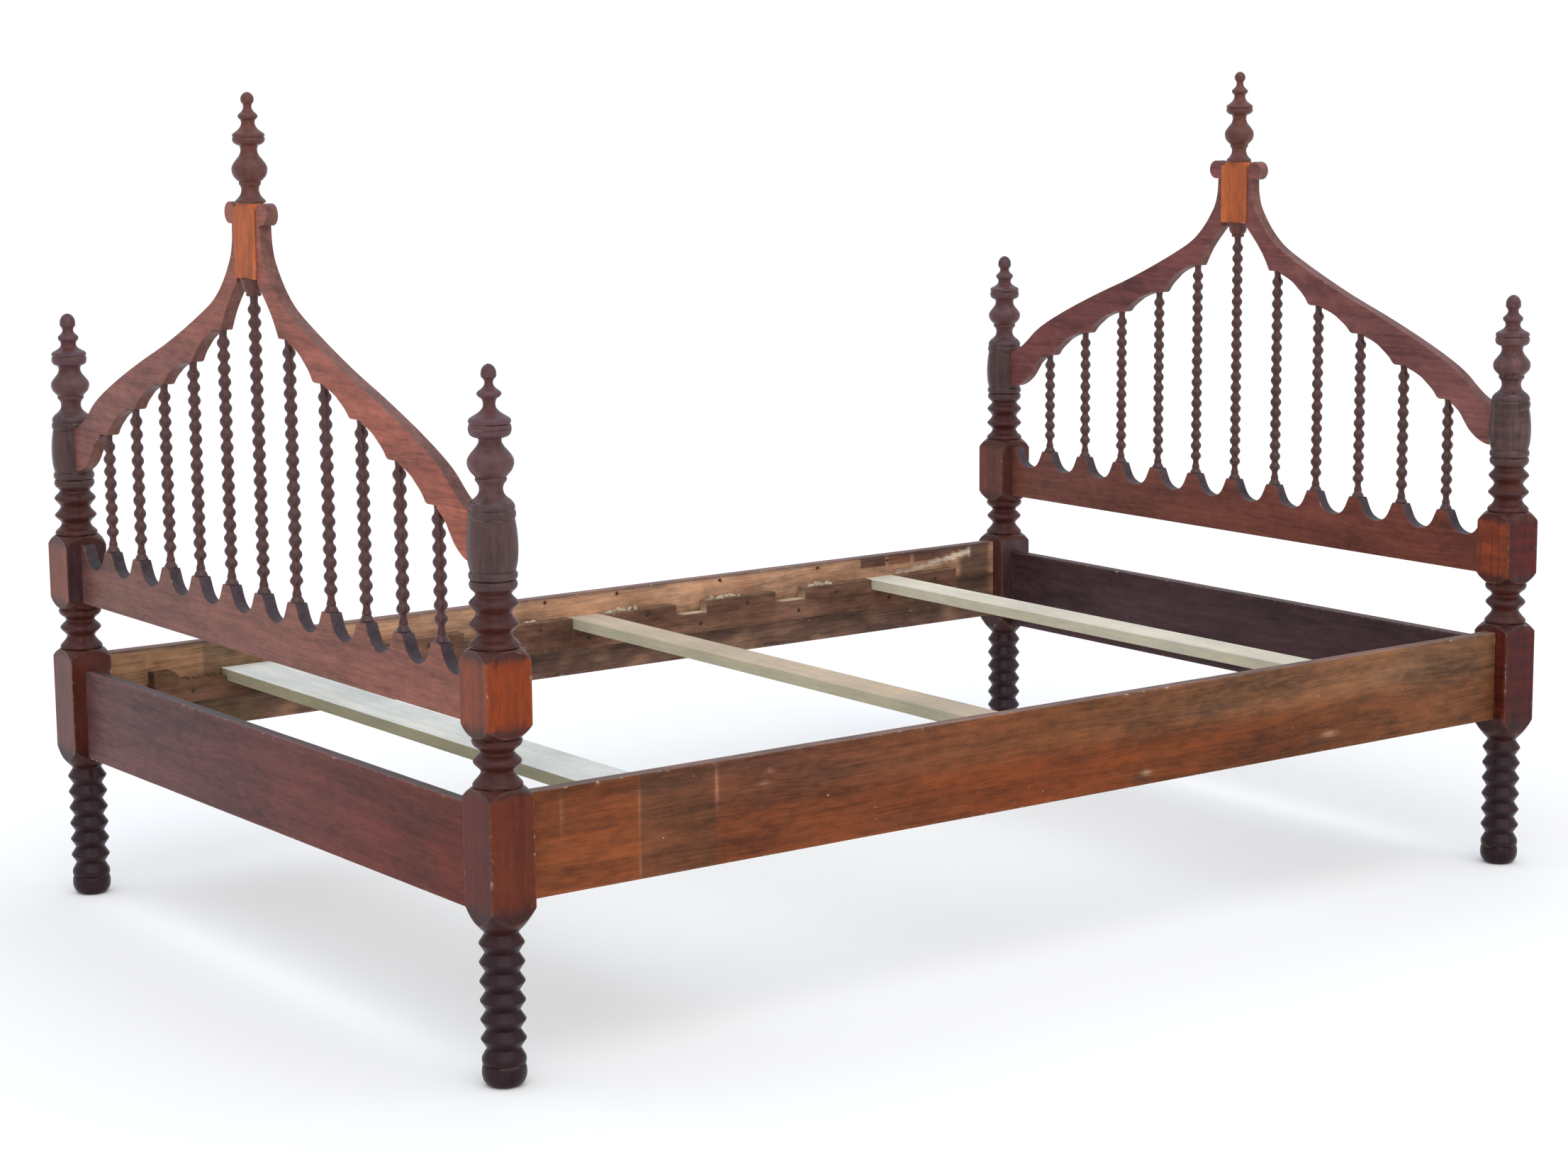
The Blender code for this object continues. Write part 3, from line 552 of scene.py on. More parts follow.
def post_piece(end, side, mat, base, seed):
    cx, cy = POST[end, side]
    tall = end == "foot" and side == "near"
    n_col = len(RIM)
    rows, kinds = [], []            # rows of (x, y, z) and (r-equivalent, wear)
    line = curve(leg_line(), 1.5)

    def turned(points):
        for z, r in points:
            rows.append(np.column_stack([RIM_DIR * r, np.full(n_col, z)]))
            kinds.append((z, r, np.zeros(n_col)))

    def cube(lower, upper, n_flat=9, m=8):
        lo = curve(lower, 1.2)
        hi = curve(upper, 1.2)
        zl, rl = np.array(lo).T
        zu, ru = np.array(hi).T
        for i in range(1, m + 1):
            r = rl[0] + (RIM_R - rl[0]) * i / m
            z = np.interp(r, rl, zl)
            rows.append(np.column_stack([RIM_DIR * r[:, None], z]))
            kinds.append((z.mean(), 40.0, np.full(n_col, 0.75 if i == m else 0.0)))
        z0 = np.interp(RIM_R, rl, zl)
        z1 = np.interp(RIM_R, ru[::-1], zu[::-1])
        for f in [0.022] + list(np.linspace(0.06, 0.94, n_flat)) + [0.978]:
            z = z0 + (z1 - z0) * f
            rows.append(np.column_stack([RIM, z]))
            kinds.append((z.mean(), 40.0, RIM_WEAR.copy()))
        for i in range(m, -1, -1):
            r = ru[-1] + (RIM_R - ru[-1]) * i / m
            z = np.interp(r, ru[::-1], zu[::-1])
            rows.append(np.column_stack([RIM_DIR * r[:, None], z]))
            kinds.append((z.mean(), 40.0, np.full(n_col, 0.75 if i == m else 0.0)))

    turned(line)
    cube(LOW_SHOULDER, LOW_TOP)
    turned(curve(WAIST, 1.2)[1:])
    cube(HIGH_SHOULDER, HIGH_TOP)
    top = curve(UPPER + (TALL_TOP if tall else SHORT_TOP), 1.2)
    turned(top[1:-1])
    prof = [(k[0], min(k[1], 36.0)) for k in kinds]
    cav = cavity(prof, 8.0)
    verts = np.vstack(rows)
    verts[:, 0] += cx
    verts[:, 1] += cy
    faces = grid_faces(len(rows), n_col)
    wear = np.concatenate([k[2] for k in kinds])
    cavs = np.repeat(np.where(np.array([k[1] for k in kinds]) == 40.0, 0.0, cav), n_col)
    dust_and_shade = np.repeat([max(math.exp(-((k[0] - q) / 0.8) ** 2) for q in POST_DUST_AND_SHADE) if k[1] != 40.0 else 0.0 for k in kinds], n_col)
    verts = verts.tolist()
    for z, ring, flip in ((rows[0][0, 2], 0, True), (top[-1][0], len(rows) - 1, False)):
        n = len(verts)
        verts.append([cx, cy, z])
        for j in range(n_col):
            k = (j + 1) % n_col
            a, b = ring * n_col + j, ring * n_col + k
            faces.append((n, b, a) if flip else (n, a, b))
    pad = len(verts) - len(wear)
    ex, sy = (-1 if end == "foot" else 1), (-1 if side == "near" else 1)
    v = np.array(verts)
    # colours by height: the leg colour holds painted shade, the barrel and top colours a painted bluish sky sheen
    zones = [(0, LEG_STAIN_AND_SHADE), (170, LEG_STAIN_AND_SHADE), (214, LEG_TOP_STAIN), (240, LEG_TOP_STAIN), (396, WAIST_STAIN), (570, WAIST_STAIN), (640, WAIST_STAIN), (674, BARREL_STAIN_AND_SHEEN),
             (760, BARREL_STAIN_AND_SHEEN), (800, TOP_STAIN_AND_SHEEN), (946, TOP_STAIN_AND_SHEEN)]
    hs = [q[0] for q in zones]
    cs = np.array([lin(q[1]) for q in zones])
    want = np.column_stack([np.interp(v[:, 2], hs, cs[:, i]) for i in range(3)])
    du, dv = (v[:, 0] - cx) * ex, (v[:, 1] - cy) * sy
    for j, (z0, z1) in enumerate(((240.5, 388.0), (478.0, 568.0))):
        mid = (v[:, 2] > z0) & (v[:, 2] < z1)
        which = np.where(np.abs(du) > np.abs(dv), np.where(du > 0, 0, 2), np.where(dv > 0, 1, 3))
        for f in range(4):
            want[mid & (which == f)] = lin(BLOCK_STAIN[end, side, j][f])
    tint = want / lin(base) - 1.0
    ob = make(f"turned_post_{end}_{side}", verts, faces, None, body=None,
              attrs={"cav": np.append(cavs, [0] * pad), "wear": np.append(wear, [0] * pad), "dust_and_shade": np.append(dust_and_shade, [0] * pad),
                     "tint": tint, "seed": [seed] * len(verts)})
    # joints cut for the rails, the arch and the rail irons
    inner = cy - sy * HALF
    rx = box_mm(f"end_rail_{end}")
    rcx = (rx[0][0] + rx[1][0]) / 2
    tools = []
    for t, z0, z1, depth, start, c in ((10, 250, 345, 18, inner, rcx), (9, 490, 548, 16, inner, cx), (8, 698, 738, 14, cy - sy * 33.0, cx)):
        tools.append(((c - t / 2 - GAP, start - sy * 4, z0 - GAP), (c + t / 2 + GAP, start + sy * (depth + GAP), z1 + GAP)))
    ia, ib = box_mm(f"rail_iron_{end}_{side}")
    iy = (ia[1] + ib[1]) / 2
    face = cx - ex * HALF
    tools.append(((face - ex * 3, iy - 2.1, ia[2] + 8.5), (face + ex * 16, iy + 2.1, ib[2] + 0.5)))
    cutters = [block_tool(*tools)]
    for i in (1, 2):
        pa, pb = box_mm(f"hook_pin_{end}_{side}_{i}")
        c = (pa + pb) / 2
        cutters.append(rod_tool(c, (pb[2] - pa[2]) / 2 + GAP, pb[1] - pa[1] + 2 * GAP))
    ob["mats"] = [mat.name]
    boolean(ob, cutters, 'DIFFERENCE')
    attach(ob, "frame")
    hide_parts(f"post_{end}_{side}")
    smooth(ob)
    return ob


# ---------------------------------------------------------------- boards
def offset(outline, d):
    """The outline moved inwards by d, for a counter-clockwise outline."""
    p = np.array(outline, float)
    e = np.roll(p, -1, 0) - p
    e /= np.maximum(np.linalg.norm(e, axis=1), 1e-9)[:, None]
    nrm = np.column_stack([-e[:, 1], e[:, 0]])
    prev = np.roll(nrm, 1, 0)
    m = nrm + prev
    k = 1.0 / np.maximum(0.35, 1 + (nrm * prev).sum(1))
    return p + m * k[:, None] * d


def area(outline):
    p = np.array(outline, float)
    q = np.roll(p, -1, 0)
    return 0.5 * (p[:, 0] * q[:, 1] - q[:, 0] * p[:, 1]).sum()


def board(name, outline, thick, plane, centre, mat, bevel=0.9, band=2.4, wobble=0.0, wear=1.0, edge_sheen_tint=None, face_tint=None, seed=0.0, **kw):
    """Flat board sawn to an outline, with eased and worn edges. Plane YZ stands across, XZ along."""
    if area(outline) < 0:
        outline = outline[::-1]
    out = np.array(outline, float)
    rings = []
    t = thick / 2
    for inset, depth, w in ((band, t, 0.0), (bevel, t, 0.45), (bevel * 0.3, t - bevel * 0.3, 1.0), (0.0, t - bevel, 0.5), (0.0, t - bevel - 2.2, 0.05), (0.0, 0.0, 0.0),
                            (0.0, -(t - bevel - 2.2), 0.05), (0.0, -(t - bevel), 0.5), (bevel * 0.3, -(t - bevel * 0.3), 1.0), (bevel, -t, 0.45), (band, -t, 0.0)):
        rings.append((offset(out, inset) if inset else out, depth, w))
    n = len(out)
    verts, wears = [], []
    for pts, depth, w in rings:
        for a, b in pts:
            verts.append((centre + depth, a, b) if plane == 'YZ' else (a, centre + depth, b))
            wears.append(w * wear)
    faces = grid_faces(len(rings), n)
    faces.append(tuple(range(n))[::-1])
    faces.append(tuple(range((len(rings) - 1) * n, len(rings) * n)))
    tint = face_tint(np.array(verts)) if face_tint is not None else np.zeros((len(verts), 3))
    # the edge colour is a painted blue-grey sky reflection on the sawn edges
    if edge_sheen_tint is not None:
        for i, (_, depth, _) in enumerate(rings):
            if abs(depth) < t - bevel * 0.5:
                tint[i * n:(i + 1) * n] = edge_sheen_tint
    body = kw.pop("body", "frame")
    replaces, slot = kw.pop("replaces", ()), kw.pop("slot", None)
    cuts, adds = kw.pop("cuts", []), kw.pop("adds", [])
    ob = make(name, verts, faces, None, body=None, attrs={"wear": wears, "tint": tint, "seed": [seed] * len(verts)}, angle=kw.pop("angle", 32))
    ob["mats"] = [mat.name]
    if adds:
        boolean(ob, adds, 'UNION')
    if cuts:
        boolean(ob, cuts, 'DIFFERENCE')
    if not adds and not cuts:
        ob.data.materials.append(mat)
    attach(ob, body)
    if replaces:
        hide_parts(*replaces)
    smooth(ob)
    return ob


def across(points, far, near, far2=None, near2=None):
    """Colours along Y, from the near post to the far one; the second pair (far2, near2) is not used."""
    f = np.clip((points[:, 1] + AY) / (2 * AY), 0, 1)[:, None]
    return lin(near) * (1 - f) + lin(far) * f


def gallery_line():
    end = AY - HALF - GAP
    bottom = 476.0
    scoop = [(11.0, 569.0), (14, 563.4), (18, 555.2), (22, 548.2), (28, 541.6), (36, 537.2), (43, 535.2), (PITCH / 2, 534.5)]
    half = curve(scoop, 2.4)
    ds, zs = np.array(half).T
    top = []
    ys = []
    for k in range(-6, 7):
        c = k * PITCH
        ys += [c - d for d in ds[::-1]] + [c + d for d in ds[1 if k == 99 else 0:]]
    seen = []
    for y in sorted(set(round(v, 4) for v in ys)):
        if -end + 0.4 < y < end - 0.4 and (not seen or y - seen[-1] > 0.6):
            seen.append(y)
    for y in [-end] + seen + [end]:
        d = abs((y + PITCH / 2) % PITCH - PITCH / 2)
        top.append((y, 569.0 if d <= 11.0 else float(np.interp(d, ds, zs))))
    low = [(y, bottom) for y in np.linspace(-end, end, 90)]
    return low + top[::-1]


ARCH_TOP = [(41.0, 1092.0), (42.5, 1070.0), (48.0, 1050.0), (58.0, 1033.0), (76.0, 1010.0), (104.0, 985.0), (161.0, 955.0), (261.0, 911.0), (356.0, 875.0),
            (441.0, 840.0), (502.0, 811.0), (530.0, 794.0), (552.0, 776.0), (574.0, 761.0), (600.0, 751.0)]
ARCH_INNER = [(31.3, 1012.0), (43.0, 1000.0), (58.0, 984.0), (71.0, 968.0), (80.0, 954.0)]
ARCH_FOOT = [(509.0, 748.0), (520.0, 741.0), (530.0, 733.0), (540.0, 720.0), (550.0, 708.0), (561.0, 699.0), (574.0, 691.5), (588.0, 687.0), (600.0, 686.0)]
DROP = [(11.5, 0.0), (18, 0.084), (33, 0.196), (48, 0.346), (58, 0.495), (68, 0.645), (76, 0.794), (83, 0.963), (87.8, 1.0)]
SCROLL_R, SCROLL_Z, NECK_Y = 15.5, 1110.0, 41.0


def arch_line(s):
    inner = 31.0 + GAP
    low = curve(ARCH_INNER, 4.0)
    tops = [t + GAP for t in TOPS]
    for k in range(1, 6):
        y, z = k * PITCH, tops[k]
        low += [(y - 11.5, z), (y, z), (y + 11.5, z)]
        if k < 5:
            drop = z - tops[k + 1]
            pts = curve([(y + d, z - f * drop) for d, f in DROP], 4.0)
            low += pts[1:-1]
    low += curve(ARCH_FOOT, 4.0)
    top = curve(ARCH_TOP, 6.0)[::-1]
    cy = inner + SCROLL_R + 0.1
    start = math.acos((NECK_Y - cy) / SCROLL_R)
    turns = 30
    scroll = []
    for i in range(turns + 1):
        a = -start + (math.pi + start) * i / turns
        scroll.append((cy + SCROLL_R * math.cos(a), SCROLL_Z + SCROLL_R * math.sin(a)))
    side = [(inner, z) for z in np.linspace(SCROLL_Z - 8, 1020.0, 12)]
    pts = low + top[:-1] + scroll + side
    clean = []
    for p in pts:
        if not clean or math.dist(p, clean[-1]) > 0.5:
            clean.append((float(p[0]), float(p[1])))
    return [(s * a, b) for a, b in clean]


def cope(x, y):
    """Post barrel, a little larger, as a helper mesh."""
    zr = [(640, 31.8), (664, 31.8)] + [(z, r + 0.35) for z, r in curve(UPPER, 1.5) if 669 < z < 770] + [(771.5, 31.2), (790, 31.2)]
    return lathe("tool", zr, (x, y), None, sides=72, body=None)


def bar(name, axis, lo, hi, mat, radius=1.2, step=8.0, across=6.0, tenon=None, seed=0.0, wear=1.0, paint=None, wobble=0.25, cuts=(), body="frame", replaces=(),
        marks=()):
    """Long board with eased edges along X or Y; paint(points) returns a colour shift for each vertex."""
    ax = "XYZ".index(axis)
    u, v = [i for i in range(3) if i != ax]
    lo, hi = np.array(lo, float), np.array(hi, float)

    def section(inset):
        a0, a1, b0, b1 = lo[u] + inset, hi[u] - inset, lo[v] + inset, hi[v] - inset
        r = max(radius - inset, 0.15)
        pts, w = [], []

        def side(p, q):
            n = max(2, int(round(math.dist(p, q) / across)))
            d = math.dist(p, q)
            fr = [0.0, min(2.0 / d, 0.2)] + [min(2.0 / d, 0.2) + (1 - 2 * min(2.0 / d, 0.2)) * i / n for i in range(1, n)] + [1 - min(2.0 / d, 0.2), 1.0]
            for i, f in enumerate(fr):
                pts.append((p[0] + (q[0] - p[0]) * f, p[1] + (q[1] - p[1]) * f))
                w.append(0.55 if i in (0, len(fr) - 1) else (0.1 if i in (1, len(fr) - 2) else 0.0))

        def corner(c, a):
            for i in (1, 2):
                t = a + math.pi / 2 * i / 3
                pts.append((c[0] + r * math.cos(t), c[1] + r * math.sin(t)))
                w.append(1.0)
        side((a0 + r, b0), (a1 - r, b0))
        corner((a1 - r, b0 + r), -math.pi / 2)
        side((a1, b0 + r), (a1, b1 - r))
        corner((a1 - r, b1 - r), 0)
        side((a1 - r, b1), (a0 + r, b1))
        corner((a0 + r, b1 - r), math.pi / 2)
        side((a0, b1 - r), (a0, b0 + r))
        corner((a0 + r, b0 + r), math.pi)
        return np.array(pts), np.array(w)

    base, w0 = section(0.0)
    small, _ = section(radius * 0.9)
    mid, _ = section(radius * 0.28)
    n = max(2, int(round((hi[ax] - lo[ax]) / step)))
    stations = [(lo[ax], small, 0.5), (lo[ax] + radius * 0.28, mid, 1.0), (lo[ax] + radius, base, 0.5)]
    stops = {round(lo[ax] + radius + (hi[ax] - lo[ax] - 2 * radius) * i / n, 3) for i in range(1, n)} | {q + d for q in marks for d in (-0.4, 0.4)}
    stations += [(q, base, 0.0) for q in sorted(stops)]
    stations += [(hi[ax] - radius, base, 0.5), (hi[ax] - radius * 0.28, mid, 1.0), (hi[ax], small, 0.5)]
    rng = np.random.default_rng(int(seed * 97) + 5)
    ph = rng.uniform(0, math.tau, (2, 5))
    fr = rng.uniform(1.5, 9.0, (2, 5))
    verts, wears = [], []
    half = (lo + hi) / 2
    for s, pts, w in stations:
        f = (s - lo[ax]) / (hi[ax] - lo[ax])
        d0 = sum(math.sin(fr[0, i] * f * math.tau + ph[0, i]) / (1 + fr[0, i]) for i in range(5)) * wobble
        d1 = sum(math.sin(fr[1, i] * f * math.tau + ph[1, i]) / (1 + fr[1, i]) for i in range(5)) * wobble
        fade = min(1.0, f * 20, (1 - f) * 20)
        for (a, b), ww in zip(pts, w0):
            p = [0.0, 0.0, 0.0]
            p[ax] = s
            # the faces only draw in, so that the piece keeps to its CAD size
            ka = 1 - fade * (abs(d0) + wobble * 0.2) / max(hi[u] - lo[u], 1) * 2
            kb = 1 - fade * (abs(d1) + wobble * 0.2) / max(hi[v] - lo[v], 1) * 2
            p[u] = half[u] + (a - half[u]) * ka
            p[v] = half[v] + (b - half[v]) * kb
            verts.append(p)
            wears.append(max(ww, w) * wear)
    m = len(base)
    faces = grid_faces(len(stations), m)
    faces.append(tuple(range(m))[::-1])
    faces.append(tuple(range((len(stations) - 1) * m, len(stations) * m)))
    verts = np.array(verts)
    tint = paint(verts) if paint else np.zeros((len(verts), 3))
    ob = make(name, verts, faces, None, body=None, attrs={"wear": wears, "tint": tint, "seed": [seed] * len(verts)}, angle=35)
    ob["mats"] = [mat.name]
    if tenon:
        boolean(ob, [block_tool(*tenon)], 'UNION')
    if cuts:
        boolean(ob, [block_tool(*cuts)], 'DIFFERENCE')
    if not tenon and not cuts:
        ob.data.materials.append(mat)
    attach(ob, body)
    if replaces:
        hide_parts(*replaces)
    smooth(ob)
    return ob


# ---------------------------------------------------------------- build the ends
for end, ex in (("foot", -1), ("head", 1)):
    x = POST[end, "near"][0]
    inner_y = AY - HALF
    for i, side in enumerate(("near", "far")):
        curly = end == "head" and side == "near"
        post_piece(end, side, MAT["post_curly" if curly else "post"], POST_BASE, seed=1.0 + 2 * (end == "head") + i)
    # colours of the outer faces, and of the faces towards the mattress, graded from the near post to the far one
    outer = {"rail": ((92, 64, 64), (97, 38, 26)), "gallery": ((108, 73, 66), (130, 77, 63)), "arch": ((119, 76, 70), (154, 84, 66))}
    inner = {"rail": ((62, 43, 45), (62, 40, 40)), "gallery": ((104, 60, 50), (106, 54, 42)), "arch": ((108, 57, 55), (118, 74, 70))}

    def end_face_colours(part, base, ex=ex, x=x, outer=outer, inner=inner):
        def colour(points, centre):
            out = (points[:, 0] - centre) * ex > 0
            return np.where(out[:, None], across(points, *outer[part]), across(points, *inner[part])) / lin(base) - 1.0
        return colour

    # lower end rail
    a, b = box_mm(f"end_rail_{end}")
    rcx = (a[0] + b[0]) / 2
    rt = (b[0] - a[0])
    bar(f"end_board_{end}", 'Y', (a[0], -inner_y + GAP, a[2]), (b[0], inner_y - GAP, b[2]), MAT["end_rail"], seed=5 + ex,
        tenon=[((rcx - 5, -inner_y - 18, 250), (rcx + 5, -inner_y + 8, 345)), ((rcx - 5, inner_y - 8, 250), (rcx + 5, inner_y + 18, 345))],
        paint=lambda v, c=rcx, f=end_face_colours("rail", END_RAIL_BASE): f(v, c), across=9.0, replaces=(f"end_rail_{end}",))
    # gallery rail
    # the edge colours of the gallery and the arch boards are a painted blue-grey sky reflection on their sawn edges
    board(f"gallery_board_{end}", gallery_line(), 20.0, 'YZ', x, MAT["gallery"], seed=8 + ex, face_tint=lambda v, c=x, f=end_face_colours("gallery", GALLERY_BASE): f(v, c), edge_sheen_tint=shift((66, 54, 58), GALLERY_BASE),
          adds=[block_tool(((x - 4.5, -inner_y - 16, 490), (x + 4.5, -inner_y + 8, 548)), ((x - 4.5, inner_y - 8, 490), (x + 4.5, inner_y + 16, 548)))],
          replaces=(f"gallery_rail_{end}",), slot="frame_wood")
    # half arches
    for side, s in (("near", -1), ("far", 1)):
        ya, yb = s * (AY - 33 - 8), s * (AY - 33 + 14)
        board(f"arch_board_{end}_{side}", arch_line(s), 20.0, 'YZ', x, MAT["arch"], seed=11 + ex + 0.4 * s, face_tint=lambda v, c=x, f=end_face_colours("arch", ARCH_BASE): f(v, c), edge_sheen_tint=shift((112, 74, 66), ARCH_BASE),
              adds=[], cuts=[cope(x, s * AY)], replaces=(f"arch_{end}_{side}",), slot="frame_wood")
    # spindles
    for k in range(-5, 6):
        top = TOPS[abs(k)]
        z0 = SEAT_Z
        first, last = z0 + 30.0, top - 19.0
        beads = max(1, round((last - first) / 19.2))
        step = (last - first) / beads
        st = [(z0, 0, 1), (z0, 10.0, 1), (z0 + 1.6, 10.0), (z0 + 3.6, 9.0), (z0 + 7.0, 7.1), (z0 + 8.6, 6.3, 1), (z0 + 10.4, 6.8), (z0 + 12.6, 6.5), (z0 + 17, 5.3), (z0 + 21, 5.0),
              (z0 + 24.2, 6.0), (z0 + 27.0, 8.4)]
        for i in range(beads + 1):
            z = first + i * step
            st += [(z - 0.19 * step, 8.55), (z, 9.4), (z + 0.19 * step, 8.55)] if i else [(z, 9.4), (z + 0.19 * step, 8.55)]
            if i < beads:
                st += [(z + 0.37 * step, 6.2), (z + 0.5 * step, 5.4), (z + 0.63 * step, 6.2)]
        st += [(last + 4.8, 7.6), (last + 8.4, 5.7), (last + 12, 5.5), (top - 0.2, 5.9), (top, 5.6, 1), (top, 0, 1)]
        ob = lathe(f"spindle_turned_{end}_{k + 6:02d}", curve(st, 1.5), (x, k * PITCH), MAT["spindle"], sides=26, dust_and_shade=(z0 + 8.6, z0 + 0.4), seed=0.37 * (k + 6) + (3 if ex > 0 else 0),
                   replaces=(f"spindle_{end}_{k + 6:02d}",), slot="spindle_wood")
        smooth(ob)
    # middle block, its turned finial and drop
    a, b = box_mm(f"centre_block_{end}")
    w, t = (b[1] - a[1]) / 2, (b[0] - a[0]) / 2
    cap = curve([(1117.0, 38, 1), (1118.4, 27.4), (1121.0, 25.0), (1124.5, 23.0, 1)], 0.9)
    zc, rc = np.array(cap).T
    cols = []
    for q in range(4):
        c, s = math.cos(q * math.pi / 2), math.sin(q * math.pi / 2)
        hx, hy = (t, w) if q % 2 == 0 else (w, t)
        r0 = 0.9
        line = [(hx, v) for v in [-(hy - r0), -(hy - r0) + 2] + list(np.linspace(-(hy - r0) + 5, hy - r0 - 5, 7)) + [hy - r0 - 2, hy - r0]]
        line += [(hx - r0 + r0 * math.cos(g), hy - r0 + r0 * math.sin(g)) for g in (math.pi / 6, math.pi / 3)]
        cols += [(px * c - py * s, px * s + py * c) for px, py in line]
    cols = np.array(cols)
    cr = np.hypot(cols[:, 0], cols[:, 1])
    cd = cols / cr[:, None]
    edge = np.minimum(t - np.abs(cols[:, 0]), w - np.abs(cols[:, 1]))
    near_corner = ((t - np.abs(cols[:, 0])) < 1.0) & ((w - np.abs(cols[:, 1])) < 1.0)
    rows, ws = [], []
    for z, inset, ww in ((a[2], 0.8, 0.4), (a[2] + 0.2, 0.25, 1.0), (a[2] + 0.9, 0.0, 0.5)):
        rows.append(np.column_stack([cols * (1 - inset / cr)[:, None], np.full(len(cols), z)]))
        ws.append(np.full(len(cols), ww))
    z_top = np.where(cr >= rc[0], zc[0], np.interp(cr, rc[::-1], zc[::-1]))
    for f in np.linspace(0.03, 1.0, 12):
        rows.append(np.column_stack([cols, a[2] + 0.9 + (z_top - a[2] - 0.9) * f]))
        ws.append(np.where(near_corner, 0.9, 0.0) if f < 1 else np.full(len(cols), 0.8))
    for i in range(1, 6):
        r = np.minimum(cr, rc[0]) + (rc[-1] - np.minimum(cr, rc[0])) * i / 5
        r = np.minimum(r, cr)
        z = np.where(cr <= rc[-1], zc[-1] - 0.001 * (5 - i), np.interp(r, rc[::-1], zc[::-1]))
        rows.append(np.column_stack([cd * r[:, None], np.minimum(z, zc[-1])]))
        ws.append(np.zeros(len(cols)))
    verts = np.vstack(rows)
    verts[:, 0] += x
    m = len(cols)
    faces = grid_faces(len(rows), m)
    faces.append(tuple(range(m))[::-1])
    faces.append(tuple(range((len(rows) - 1) * m, len(rows) * m)))
    ob = make(f"middle_block_{end}", verts, faces, MAT["block"], attrs={"wear": np.concatenate(ws), "seed": [21 + ex] * len(verts)}, replaces=(f"centre_block_{end}",), slot="block_wood")
    smooth(ob)
    top_line = [(1124.8, 0, 1), (1124.8, 21.0, 1), (1126.4, 21.4), (1128.4, 21.0), (1130.6, 18.6), (1135.0, 15.0), (1140.0, 12.9), (1144.0, 12.5), (1148.0, 13.4),
                (1150.6, 15.2), (1153.0, 15.6, 1), (1154.4, 15.2, 1), (1157.0, 18.4), (1163.0, 23.2), (1170.5, 25.1), (1176.5, 24.2), (1184.0, 19.4), (1191.0, 14.0),
                (1196.5, 12.0), (1201.0, 12.0), (1204.6, 13.2, 1), (1206.4, 18.0), (1209.4, 21.6), (1213.0, 23.0), (1215.2, 22.6), (1216.4, 21.6, 1), (1217.6, 22.6),
                (1219.8, 22.8), (1222.4, 20.4), (1226.6, 14.8), (1231.4, 10.8), (1236.0, 9.6), (1240.0, 10.2, 1), (1242.4, 12.8), (1245.4, 14.1), (1248.2, 12.6), (1251.8, 8.8),
                (1255.6, 6.4), (1259.0, 5.8), (1262.4, 6.6, 1), (1265.0, 8.6), (1269.6, 9.4), (1274.0, 7.9), (1277.4, 4.6), (1278.7, 2.0), (1279, 0)]
    ob = lathe(f"middle_finial_{end}", curve(top_line, 1.0), (x, 0.0), MAT["finial"], sides=48, dust_and_shade=(1153.6, 1216.4, 1125.0), seed=31 + ex, replaces=(f"centre_finial_{end}",), slot="finial_wood")
    smooth(ob)
    z1 = box_mm(f"centre_drop_{end}")[1][2]
    z0 = box_mm(f"centre_drop_{end}")[0][2]
    drop_line = [(z0, 0, 1), (z0, 10.2, 1), (z0 + 1.2, 11.0), (z0 + 2.6, 10.8), (z0 + 4.0, 10.2, 1), (z0 + 5.2, 11.2), (z0 + 7.6, 13.2), (z0 + 10.4, 14.6), (z0 + 14, 15.2),
                 (z0 + 18.6, 16.2), (z0 + 22.4, 18.4), (z1 - 0.6, 19.0, 1), (z1, 18.6, 1), (z1, 0, 1)]
    ob = lathe(f"middle_drop_{end}", curve(drop_line, 1.2), (x, 0.0), MAT["finial"], sides=40, dust_and_shade=(z0 + 4.0,), seed=41 + ex, replaces=(f"centre_drop_{end}",), slot="finial_wood")
    smooth(ob)

# ---------------------------------------------------------------- side rails and ledgers
def spot(points, x, z, rx, rz):
    return np.exp(-((points[:, 0] - x) / rx) ** 2 - ((points[:, 2] - z) / rz) ** 2)[:, None]


def patch(points, x0, x1, z0, z1, soft=0.5):
    """1 inside a rectangle of the face, 0 outside."""
    def side(v, lo, hi):
        return np.clip((v - lo) / soft + 0.5, 0, 1) * np.clip((hi - v) / soft + 0.5, 0, 1)
    return (side(points[:, 0], x0, x1) * side(points[:, 2], z0, z1))[:, None]


def blend(colour, rgb, amount):
    return colour * (1 - amount) + lin(rgb) * amount


# colour of the outer face along the rail: place, upper colour, lower colour
FACE = [(-907, (116, 66, 42), (120, 68, 44)), (-745.3, (122, 69, 44), (122, 69, 44)), (-744.7, (102, 66, 48), (105, 66, 47)), (-620.3, (104, 66, 48), (107, 67, 47)),
        (-619.7, (110, 68, 49), (120, 67, 43)), (-480, (112, 69, 50), (120, 67, 43)), (-60, (117, 72, 47), (112, 60, 37)), (430, (126, 86, 60), (110, 62, 38)),
        (790, (117, 83, 60), (114, 73, 49)), (907, (116, 82, 60), (112, 72, 50))]
FACE_X = [q[0] for q in FACE]
FACE_UP, FACE_LOW = np.array([dry(q[1]) for q in FACE]), np.array([dry(q[2]) for q in FACE])
LEDGER_TOP = box_mm("ledger_far")[1][2]
LEDGER_LOW = box_mm("ledger_far")[0][2]


